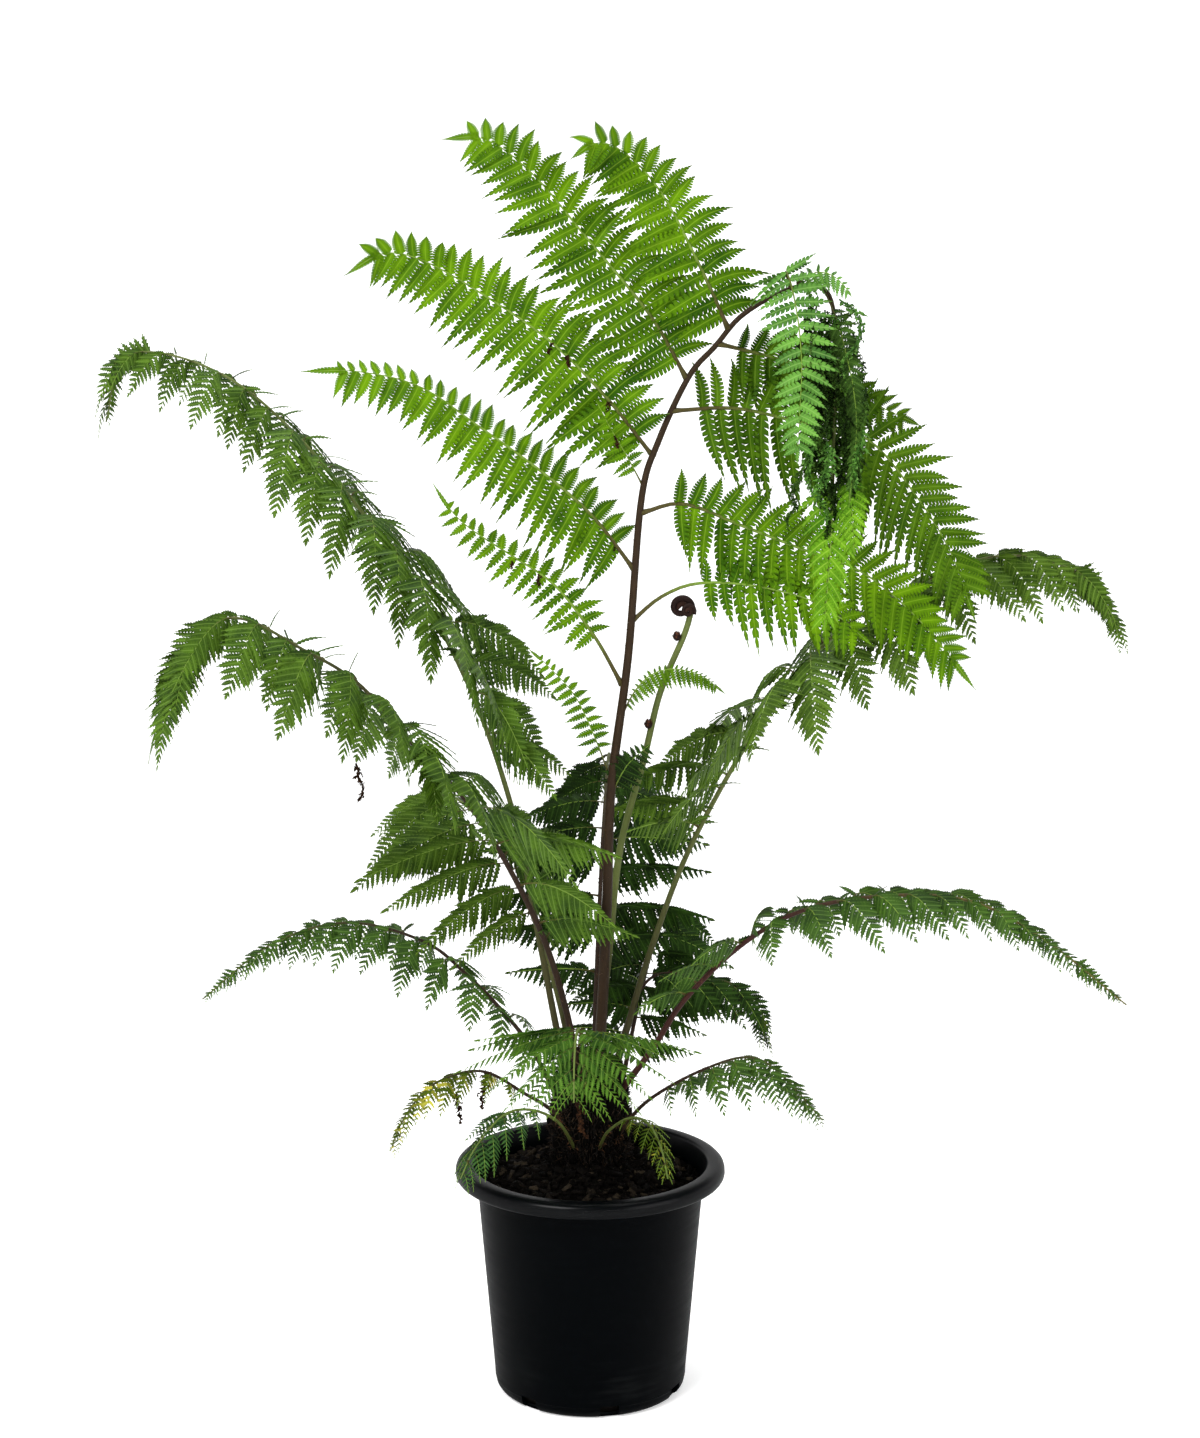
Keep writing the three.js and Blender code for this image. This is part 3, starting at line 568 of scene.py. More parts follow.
class Path:
    """A smooth line in space, measured by shares of its length."""

    SAMPLES = 24

    def __init__(self, samples: Array) -> None:
        """Keeps close samples of the line, one a row.

        Args:
            samples: The samples, in millimetres.
        """
        self.samples = samples
        steps = np.linalg.norm(np.diff(samples, axis=0), axis=1)
        self.marks = np.concatenate([[0.0], np.cumsum(steps)])
        self.length = float(self.marks[-1])

    @classmethod
    def through(cls, points: Points) -> "Path":
        """A smooth line through points.

        Args:
            points: The points, from one end to the other.

        Returns:
            The line.
        """
        known = np.array(points, float)
        ends = (2 * known[0] - known[1], 2 * known[-1] - known[-2])
        padded = np.vstack([ends[0], known, ends[1]])
        t = np.linspace(0, 1, cls.SAMPLES, endpoint=False)[:, None]
        rows = []
        for a, b, c, d in zip(padded, padded[1:], padded[2:], padded[3:]):
            first, last = 0.5 * (c - a), 0.5 * (d - b)
            cubic = 2 * b - 2 * c + first + last
            square = -3 * b + 3 * c - 2 * first - last
            rows.append(b + first * t + square * t**2 + cubic * t**3)
        return cls(np.vstack(rows + [known[-1:]]))

    @classmethod
    def bend(cls, start: Array, middle: Array, end: Array) -> "Path":
        """A single arc from start to end, drawn towards middle."""
        t = np.linspace(0, 1, 2 * cls.SAMPLES)[:, None]
        return cls((1 - t) ** 2 * start + 2 * t * (1 - t) * middle + t**2 * end)

    def at(self, shares: Any) -> Array:
        """The points at shares of the length."""
        marks = np.clip(np.asarray(shares, float), 0, 1) * self.length
        return np.stack([np.interp(marks, self.marks, self.samples[:, axis]) for axis in range(3)], -1)

    def tangents(self, shares: Any) -> Array:
        """The unit directions at shares of the length."""
        shares = np.asarray(shares, float)
        return unit(self.at(shares + 0.004) - self.at(shares - 0.004))


@dataclass
class Mesher:
    """Gathers faces of several finishes into one object."""

    name: str
    finishes: List[bpy.types.Material]
    vertices: List[Array] = field(default_factory=list)
    faces: List[Array] = field(default_factory=list)
    slots: List[Array] = field(default_factory=list)
    grain: List[Array] = field(default_factory=list)
    tone: List[Array] = field(default_factory=list)
    count: int = 0

    def add(self, vertices: Array, faces: Array, slot: int, grain: Array, tone: Any = 0.0) -> None:
        """Adds triangles.

        Args:
            vertices: The points in millimetres, one a row.
            faces: Three vertex numbers a row.
            slot: The finish they take.
            grain: Share along, share across and a chance number, for each vertex.
            tone: How far each vertex has aged, from 0 to 1.
        """
        self.vertices.append(vertices)
        self.faces.append(faces + self.count)
        self.slots.append(np.full(len(faces), slot, np.int32))
        self.grain.append(np.broadcast_to(grain, (len(vertices), 3)))
        self.tone.append(np.broadcast_to(np.asarray(tone, float), (len(vertices),)))
        self.count += len(vertices)

    def build(self) -> bpy.types.Object:
        """Makes the object.

        Returns:
            The object, at the origin.
        """
        faces = np.vstack(self.faces)
        mesh = bpy.data.meshes.new(self.name)
        mesh.from_pydata((np.vstack(self.vertices) * METRES).tolist(), [], faces.tolist())
        mesh.polygons.foreach_set("material_index", np.concatenate(self.slots))
        mesh.polygons.foreach_set("use_smooth", np.ones(len(faces), bool))
        grain = mesh.attributes.new("grain", "FLOAT_VECTOR", "POINT")
        grain.data.foreach_set("vector", np.vstack(self.grain).astype(np.float32).ravel())
        tone = mesh.attributes.new("tone", "FLOAT", "POINT")
        tone.data.foreach_set("value", np.concatenate(self.tone).astype(np.float32))
        for finish in self.finishes:
            mesh.materials.append(finish)
        mesh.update()
        return linked(self.name, mesh)

    def tube(
        self,
        path: Path,
        radius: Callable[[Array], Array],
        steps: int,
        sides: int,
        slot: int,
        tone: float = 0.0,
        groove: float = 0.0,
    ) -> None:
        """Adds a closed tapering tube.

        Args:
            path: The line it follows.
            radius: Its radius at shares of the length.
            steps: Its rings, less one.
            sides: The sides of a ring.
            slot: Its finish.
            tone: How far it has aged.
            groove: The depth of the groove on its first side, as a share of the radius.
        """
        shares = np.linspace(0, 1, steps + 1)
        centres, tangents = path.at(shares), path.tangents(shares)
        start = DEPTH if abs(tangents[0][1]) < 0.9 else UP
        normal = unit(np.cross(tangents[0], start))
        normals = []
        for tangent in tangents:
            normal = unit(normal - tangent * float(normal @ tangent))
            normals.append(normal)
        normals = np.array(normals)
        others = np.cross(tangents, normals)
        angles = 2 * math.pi * np.arange(sides) / sides
        dent = 1 - groove * np.maximum(0, np.cos(angles)) ** 6
        reach = radius(shares)[:, None] * dent
        rings = centres[:, None] + reach[..., None] * (
            np.cos(angles)[None, :, None] * normals[:, None] + np.sin(angles)[None, :, None] * others[:, None]
        )
        vertices = rings.reshape(-1, 3)
        row = np.arange(steps)[:, None] * sides
        a = row + np.arange(sides)
        b = row + (np.arange(sides) + 1) % sides
        quads = [np.stack([a, b, a + sides], -1), np.stack([b, b + sides, a + sides], -1)]
        walls = np.concatenate([part.reshape(-1, 3) for part in quads])
        fan = np.arange(1, sides - 1)
        last = steps * sides
        foot = np.stack([np.zeros_like(fan), fan + 1, fan], -1)
        tip = np.stack([np.full_like(fan, last), last + fan, last + fan + 1], -1)
        grain = np.zeros((len(vertices), 3))
        grain[:, 0] = np.repeat(shares, sides)
        grain[:, 1] = np.tile(np.sin(angles), steps + 1)
        self.add(vertices, np.vstack([walls, foot, tip]), slot, grain, tone)

    def blades(self, feet: Array, along: Array, across: Array, sizes: Array, slot: int, chance: Array) -> None:
        """Adds thin pointed scales or hairs, each bent once.

        Args:
            feet: Where each stands.
            along: The unit direction of each.
            across: The unit direction of each one's width.
            sizes: Length and width of each.
            slot: Their finish.
            chance: A number from 0 to 1 for each.
        """
        long, wide = sizes[:, :1], 0.5 * sizes[:, 1:]
        sag = unit(along + 0.6 * np.cross(along, across))
        middle = feet + 0.5 * long * along
        rows = [feet - across * wide, feet + across * wide, middle - across * wide, middle + across * wide]
        rows.append(middle + 0.5 * long * sag)
        vertices = np.stack(rows, 1).reshape(-1, 3)
        faces = np.array([[0, 1, 3], [0, 3, 2], [2, 3, 4]])
        faces = (faces[None] + 5 * np.arange(len(feet))[:, None, None]).reshape(-1, 3)
        grain = np.zeros((len(vertices), 3))
        grain[:, 0] = np.tile([0, 0, 0.5, 0.5, 1], len(feet))
        grain[:, 2] = np.repeat(chance, 5)
        self.add(vertices, faces, slot, grain)


@dataclass(frozen=True)
class LeafletPattern:
    """The cut outline and relief of one leaflet, from its foot at 0 to its tip at 1."""

    teeth: int
    foot: float
    winged: float
    fullest: float
    arch: float
    blunt: bool = False
    inner: bool = False
    inner_width: float = 0.34

    def half_width(self, along: float) -> float:
        """The half width at a share of the length, 1 at its widest."""
        start = mix(self.winged, 1.0, min(1.0, max(0.0, along) / self.foot) ** 0.5)
        return start * (1 - float(smooth(self.fullest, 1.04, along)) ** 1.3)

    def shape(self) -> Tuple[Array, Array]:
        """Works out the pattern.

        Returns:
            A row for each vertex with its share along, its share across, how far the cuts
            pull it in and its lift, and the triangles.
        """
        rows = [[mark / self.teeth, 0.0, 0.0, 0.0] for mark in range(self.teeth + 1)]
        faces: List[List[int]] = []
        for side in (1, -1):
            inner = self._inner_row(rows, side)
            edge = self._edge_row(rows, side)
            for tooth in range(self.teeth):
                faces += [face[::side] for face in self._tooth_faces(tooth, inner, edge)]
        return np.array(rows), np.array(faces)

    def _inner_row(self, rows: List[List[float]], side: int) -> List[int]:
        """Adds the vertices between rib and edge, or reuses the rib's.

        Args:
            rows: The pattern's vertices so far.
            side: 1 or -1, the side of the rib.

        Returns:
            The vertices' numbers, one for each mark on the rib.
        """
        if not self.inner:
            return list(range(self.teeth + 1))
        numbers = []
        for tooth in range(self.teeth):
            mark = tooth / self.teeth
            numbers.append(len(rows))
            rows.append([mark, side * self.inner_width * self.half_width(mark), 0.0, 0.03])
        return numbers + [self.teeth]

    def _edge_row(self, rows: List[List[float]], side: int) -> List[List[int]]:
        """Adds the cut before each tooth and the one or two vertices of its tip.

        Args:
            rows: The pattern's vertices so far.
            side: 1 or -1, the side of the rib.

        Returns:
            The vertices' numbers for each tooth, with the leaflet's tip last.
        """
        edge = []
        ends = ((0.5, 0.3, 0.93), (1.22, 0.7, 1.0)) if self.blunt else ((0.95, 0.4, 1.0),)
        for tooth in range(self.teeth):
            mark = tooth / self.teeth
            edge.append([len(rows)])
            rows.append([mark + 0.08 / self.teeth, side * self.half_width(mark), 1.0, -0.7 * self.arch])
            for shift, sample, share in ends:
                edge[-1].append(len(rows))
                width = share * self.half_width(mark + sample / self.teeth)
                rows.append([min(1.0, mark + shift / self.teeth), side * width, 0.0, -self.arch])
        edge.append([self.teeth])
        return edge

    def _tooth_faces(self, tooth: int, inner: List[int], edge: List[List[int]]) -> List[List[int]]:
        """The triangles of one tooth, with the edge to the left of the rib.

        Args:
            tooth: The tooth's number, from the foot.
            inner: The vertices between rib and edge.
            edge: The vertices of each tooth.

        Returns:
            The triangles.
        """
        here, beyond = inner[tooth], inner[tooth + 1]
        last = tooth == self.teeth - 1
        cut, tips = edge[tooth][0], edge[tooth][1:]
        faces = [[here, tips[0], cut], [here, beyond, tips[-1]]]
        faces += [[here, after, before] for before, after in zip(tips, tips[1:])]
        if not last:
            faces.append([beyond, edge[tooth + 1][0], tips[-1]])
        if self.inner:
            faces.append([tooth, tooth + 1, here])
            if not last:
                faces.append([tooth + 1, beyond, here])
        return faces


LARGE_LEAFLET = LeafletPattern(
    teeth=13, foot=0.08, winged=0.5, fullest=0.3, arch=0.26, blunt=True, inner=True, inner_width=0.2
)
CUT_LEAFLET = LeafletPattern(teeth=8, foot=0.06, winged=0.6, fullest=0.3, arch=0.26, blunt=True)
SMALL_LEAFLET = LeafletPattern(teeth=7, foot=0.05, winged=0.9, fullest=0.42, arch=0.22)
TINY_LEAFLET = LeafletPattern(teeth=5, foot=0.05, winged=0.9, fullest=0.3, arch=0.22)


@dataclass
class Pinna:
    """One side branch of a frond: its rib, and the leaflets along both sides of it."""

    path: Path
    facing: Array
    twist: float
    stalk: float
    reach: float
    spacing: float
    half: float
    pattern: LeafletPattern
    angles: Tuple[float, float] = (70.0, 46.0)
    cuts: Tuple[float, float] = (0.5, 0.3)
    start: float = 0.7
    fade: float = 1.2
    hang: float = 0.0
    droop: float = 0.12
    curve: float = 0.2
    upper: float = 1.0
    taper: float = 0.9
    end: float = 0.95
    crumple: float = 0.0
    limp: float = 0.0
    tone: float = 0.0
    rib: Tuple[float, float] = (0.9, 0.3)
    seed: int = 1

    def frames(self, shares: Array) -> Tuple[Array, Array, Array, Array]:
        """The places, directions, sideways directions and normals at shares of the rib.

        Args:
            shares: The shares of its length.

        Returns:
            The four arrays, one row for each share.
        """
        tangents = self.path.tangents(shares)
        sides = unit(np.cross(np.broadcast_to(self.facing, tangents.shape), tangents))
        sides = turned(sides, tangents, np.full(len(tangents), math.radians(self.twist)))
        return self.path.at(shares), tangents, sides, np.cross(tangents, sides)

    def share(self, along: Array) -> Array:
        """The share of the full reach that leaflets have along the leafy part."""
        return np.minimum(1, self.start + 1.8 * along) * (1 - self.taper * along**self.fade)

    def rib_radius(self, along: Any) -> Any:
        """The rib's radius at a share of its length, flared where it leaves the stalk."""
        return mix(*self.rib, along) + 0.6 * self.rib[0] * np.exp(-0.16 * self.path.length * along)

    def add_to(self, mesher: Mesher, leaf: int, rib: int) -> None:
        """Adds the rib and its leaflets.

        Args:
            mesher: Where they go.
            leaf: The leaflets' finish.
            rib: The rib's finish.
        """
        steps = max(6, int(self.path.length / 12))
        mesher.tube(self.path, self.rib_radius, steps, 6, rib, self.tone)
        chance = np.random.RandomState(self.seed)
        count = max(4, int(round(self.path.length * (1 - self.stalk) / self.spacing)))
        order = (np.arange(count) + 0.5) / count
        leafy = 1.06 * order - 0.06 * order**4
        for side in (1, -1):
            shares = mix(self.stalk, self.end, leafy) + 0.1 * side / count
            self._add_row(mesher, leaf, side, leafy, shares, chance)
        self._add_end(mesher, leaf)

    def _add_row(
        self, mesher: Mesher, leaf: int, side: int, order: Array, shares: Array, chance: np.random.RandomState
    ) -> None:
        """Adds the leaflets of one side.

        Args:
            mesher: Where they go.
            leaf: Their finish.
            side: 1 or -1, the side of the rib.
            order: Where each stands, as a share of the leafy part.
            shares: Where each stands, as a share of the rib.
            chance: The draws of this pinna.
        """
        count = len(order)
        loose = 1 + 6 * self.crumple
        centres, tangents, sides, normals = self.frames(shares)
        angle = np.radians(mix(*self.angles, order) + 3.5 * loose * chance.randn(count))
        along = sides * side * np.sin(angle)[:, None] + tangents * np.cos(angle)[:, None]
        below = np.clip(0.6 - 0.8 * side * sides[:, 2], 0.1, 1.0)
        hang = (self.hang * below)[:, None]
        along = unit(along * (1 - hang) + DOWN * hang)
        along = unit(along + DOWN * self.limp * np.maximum(0.0, along[:, 2:]))
        across = unit(np.cross(normals, along))
        across = turned(across, along, np.radians(8 * loose * chance.randn(count)))
        lift = np.cross(along, across)
        raised = np.clip(2.0 * side * sides[:, 2], 0, 1)
        length = self.reach * self.share(order) * (1 + 0.05 * loose * chance.randn(count))
        length = np.maximum(length * mix(1.0, self.upper, raised), 1.5)[:, None]
        half = np.minimum(self.half * mix(1.0, 0.84, order), 0.2 * length[:, 0]) * (1 + 0.06 * chance.randn(count))
        bend = self.curve * mix(1.0, -0.8, raised)[:, None] * tangents + DOWN * self.droop
        bend = bend + (0.05 + 0.5 * self.crumple) * chance.randn(count, 3)
        pattern, triangles = self.pattern.shape()
        x, y, cut, z = pattern.T
        cuts = mix(*self.cuts, order)[:, None]
        spots = centres[:, None] + along[:, None] * (length * x)[..., None]
        spots = spots + bend[:, None] * (length * x**2)[..., None]
        spots = spots + across[:, None] * (half[:, None] * y * (1 - cuts * cut))[..., None]
        spots = spots + lift[:, None] * (half[:, None] * z)[..., None]
        spots = spots + self.crumple * 2.6 * chance.randn(*spots.shape)
        numbers = triangles[None] + len(pattern) * np.arange(count)[:, None, None]
        grain = np.zeros((count, len(pattern), 3))
        grain[..., 0], grain[..., 1] = x * self.pattern.teeth, y
        grain[..., 2] = np.clip(mix(0.3, 0.65, order) + 0.14 * chance.randn(count), 0, 1)[:, None]
        tone = np.clip(self.tone * (1 + 0.4 * chance.randn(count)), 0, 1)
        tones = np.repeat(tone, len(pattern))
        mesher.add(spots.reshape(-1, 3), numbers.reshape(-1, 3), leaf, grain.reshape(-1, 3), tones)

    def _add_end(self, mesher: Mesher, leaf: int) -> None:
        """Adds the narrow leaflet that follows the rib to its end.

        Args:
            mesher: Where it goes.
            leaf: Its finish.
        """
        pattern, triangles = self.pattern.shape()
        x, y, cut, z = pattern.T
        centres, _, sides, normals = self.frames(mix(self.end - 0.02, 1.0, x))
        half = min(0.46 * self.half, 0.14 * (1 - self.end) * self.path.length + 0.03 * self.reach)
        spots = centres + sides * (half * y * (1 - self.cuts[1] * cut))[:, None] + normals * (half * z)[:, None]
        grain = np.column_stack([x * self.pattern.teeth, y, np.full(len(pattern), 0.6)])
        mesher.add(spots, triangles, leaf, grain, self.tone)


def add_withered(mesher: Mesher, top: Array, long: float, leaf: int, seed: int, leaflet: float = 7.0) -> None:
    """Adds a dry, curled strand of leaflets that hangs from a point.

    Args:
        mesher: Where it goes.
        top: The point.
        long: The strand's length.
        leaf: The leaflets' finish.
        seed: The seed of its curls.
        leaflet: The length of its leaflets.
    """
    chance = np.random.RandomState(seed)
    share = np.linspace(0, 1, 7)[:, None]
    sway = np.cumsum(0.055 * long * chance.randn(7, 3) * (1, 0.6, 0.3), axis=0) * (share > 0)
    Pinna(
        path=Path.through((top + DOWN * long * share + sway).tolist()),
        facing=DEPTH,
        twist=float(chance.uniform(-70, 70)),
        stalk=0.02,
        reach=leaflet,
        spacing=4.4,
        half=2.4,
        pattern=TINY_LEAFLET,
        hang=0.3,
        crumple=0.42,
        start=1.0,
        fade=2.2,
        rib=(0.7, 0.4),
        seed=seed,
    ).add_to(mesher, leaf, leaf)


def add_scales(
    mesher: Mesher,
    path: Path,
    girth: Tuple[float, float],
    span: Tuple[float, float],
    count: int,
    long: float,
    slot: int,
) -> None:
    """Adds thin scales to a stalk, most of them near its foot.

    Args:
        mesher: Where they go.
        path: The stalk's line.
        girth: Its radius at the foot and the tip.
        span: The shares of its length that bear scales.
        count: How many there are.
        long: The length of the longest.
        slot: Their finish.
    """
    chance = np.random.RandomState(count)
    shares = mix(*span, chance.rand(count) ** 1.7)
    tangents = path.tangents(shares)
    helper = unit(np.cross(tangents, unit(chance.randn(count, 3))))
    radius = mix(*girth, shares**0.8)[:, None]
    feet = path.at(shares) + helper * radius * 0.96
    along = unit(helper * 0.75 + tangents * chance.uniform(-0.3, 0.9, (count, 1)))
    across = unit(np.cross(along, tangents))
    sizes = np.column_stack([long * chance.uniform(0.35, 1, count), long * chance.uniform(0.06, 0.13, count)])
    mesher.blades(feet, along, across, sizes, slot, chance.rand(count))


@dataclass(frozen=True)
class FrondShape:
    """A frond whose pinnae follow from its stem, in the terms that the frame's solids use."""

    node: str
    stem: Points
    girth: Tuple[float, float]
    bare: float
    pairs: int
    reach: float
    lift: Tuple[float, float]
    droop: Tuple[float, float]
    last: float
    seed: int
    leaf: LeafColour
    stalk: StalkColour
    leaflet: float = 40.0
    half: float = 4.4
    spacing: float = 8.4
    pattern: LeafletPattern = SMALL_LEAFLET
    tone: float = 0.0
    scales: int = 160
    curls: Points = ()


class Frond:
    """One frond: its stalk with scales, its pinnae and their leaflets."""

    LOUVRE = 16.0
    OPEN = 0.5

    def __init__(self, shape: FrondShape) -> None:
        """Keeps the frond's shape."""
        self.shape = shape
        self.path = Path.through(shape.stem)

    def pinna_share(self, q: float) -> float:
        """The share of the greatest pinna length along the leafy part."""
        late = max(0.0, (q - 0.35) / 0.65)
        return min(1.0, 0.62 + 1.5 * q) * (1 - (1 - self.shape.last) * late**1.4)

    def pinnae(self) -> List[Pinna]:
        """Works out the pinnae.

        Returns:
            The pinnae, from the foot to the tip.
        """
        draw = Draw(self.shape.seed)
        made = []
        for pair in range(self.shape.pairs):
            for side in (1, -1):
                made.append(self._pinna(draw, pair, side))
        return made

    def _pinna(self, draw: Draw, pair: int, side: int) -> Pinna:
        """Works out one pinna.

        Args:
            draw: The draws of this frond.
            pair: The pair's number, from the foot.
            side: 1 or -1, the side of the stalk.

        Returns:
            The pinna.
        """
        shape = self.shape
        order = (pair + 0.25 + (0 if side > 0 else 0.35) + draw.around(0, 0.06)) / shape.pairs
        q = order * (1.4 - 0.4 * order)
        share = mix(shape.bare, 0.985, q)
        base, along = self.path.at([share])[0], self.path.tangents([share])[0]
        forward = math.radians(draw.around(24, 7))
        scatter = draw.around(1, 0.12)
        length = shape.reach * self.pinna_share(q) * draw.around(0.96, 0.1)
        across = unit(np.cross(along, UP))
        upper = np.cross(across, along)
        lift = math.radians(mix(*shape.lift, q))
        out = across * side * math.cos(lift) + upper * math.sin(lift)
        out = out * math.cos(forward) + along * math.sin(forward)
        hang = min(0.97, mix(*shape.droop, q) * scatter)
        fall = unit(out * (1 - hang) + DOWN * hang + along * 0.3 * q)
        start = unit(mix(out, fall, 0.3))
        bend = base + start * 0.34 * length
        path = Path.bend(base, bend, bend + fall * 0.72 * length)
        facing = unit(np.cross(along, path.tangents([0.5])[0])) * side
        chance = np.random.RandomState(shape.seed * 31 + 2 * pair + (side > 0))
        facing = unit(facing + self.OPEN * DEPTH * np.sign(facing[1]))
        size = min(1.0, max(0.24, length / shape.reach))
        return Pinna(
            path=path,
            facing=facing,
            twist=self.LOUVRE * side + chance.uniform(-16, 16),
            stalk=0.05,
            reach=shape.leaflet * size * chance.uniform(0.88, 1.08),
            limp=0.9,
            fade=1.25,
            hang=0.16,
            droop=0.18,
            angles=(76.0, 52.0),
            spacing=shape.spacing * mix(0.6, 1.0, size),
            half=shape.half * mix(0.3, 1.0, size),
            pattern=shape.pattern,
            tone=shape.tone * (0.6 + 0.8 * draw.next()),
            rib=(min(1.1, 0.3 * mix(*shape.girth, share)), 0.25),
            seed=shape.seed * 97 + pair * 2 + (side > 0),
        )

    def build(self) -> bpy.types.Object:
        """Makes the frond.

        Returns:
            Its object.
        """
        shape = self.shape
        finishes = [
            shape.stalk.value, shape.leaf.value, StalkColour.RIB.value, SCALES, LeafColour.WITHERED.value,
        ]
        mesher = Mesher(shape.node + "_leaves", [dressed(finish) for finish in finishes])
        steps = max(30, int(self.path.length / 9))
        mesher.tube(
            self.path, lambda t: mix(*shape.girth, t**0.8), steps, 12, 0, groove=0.18
        )
        pinnae = self.pinnae() + [self.end()]
        for pinna in pinnae:
            pinna.add_to(mesher, 1, 2)
        held = np.vstack([self.path.samples] + [pinna.path.samples[-1:] for pinna in pinnae])
        for number, spot in enumerate(shape.curls):
            top = nearest(held, spot)
            add_withered(mesher, top, 46.0, 4, shape.seed + number)
        add_scales(mesher, self.path, shape.girth, (0.02, 0.5), shape.scales, 8.0, 3)
        return mesher.build()

    def end(self) -> Pinna:
        """The narrow leafy tip that ends the frond.

        Returns:
            The tip, as a pinna.
        """
        shape = self.shape
        return Pinna(
            path=Path(self.path.at(np.linspace(0.9, 1.0, 40))),
            facing=DEPTH,
            twist=10.0,
            stalk=0.0,
            reach=0.5 * shape.leaflet,
            spacing=0.7 * shape.spacing,
            half=0.8 * shape.half,
            pattern=TINY_LEAFLET,
            angles=(62.0, 40.0),
            start=1.0,
            fade=0.8,
            hang=0.35,
            tone=shape.tone,
            seed=shape.seed * 89,
        )


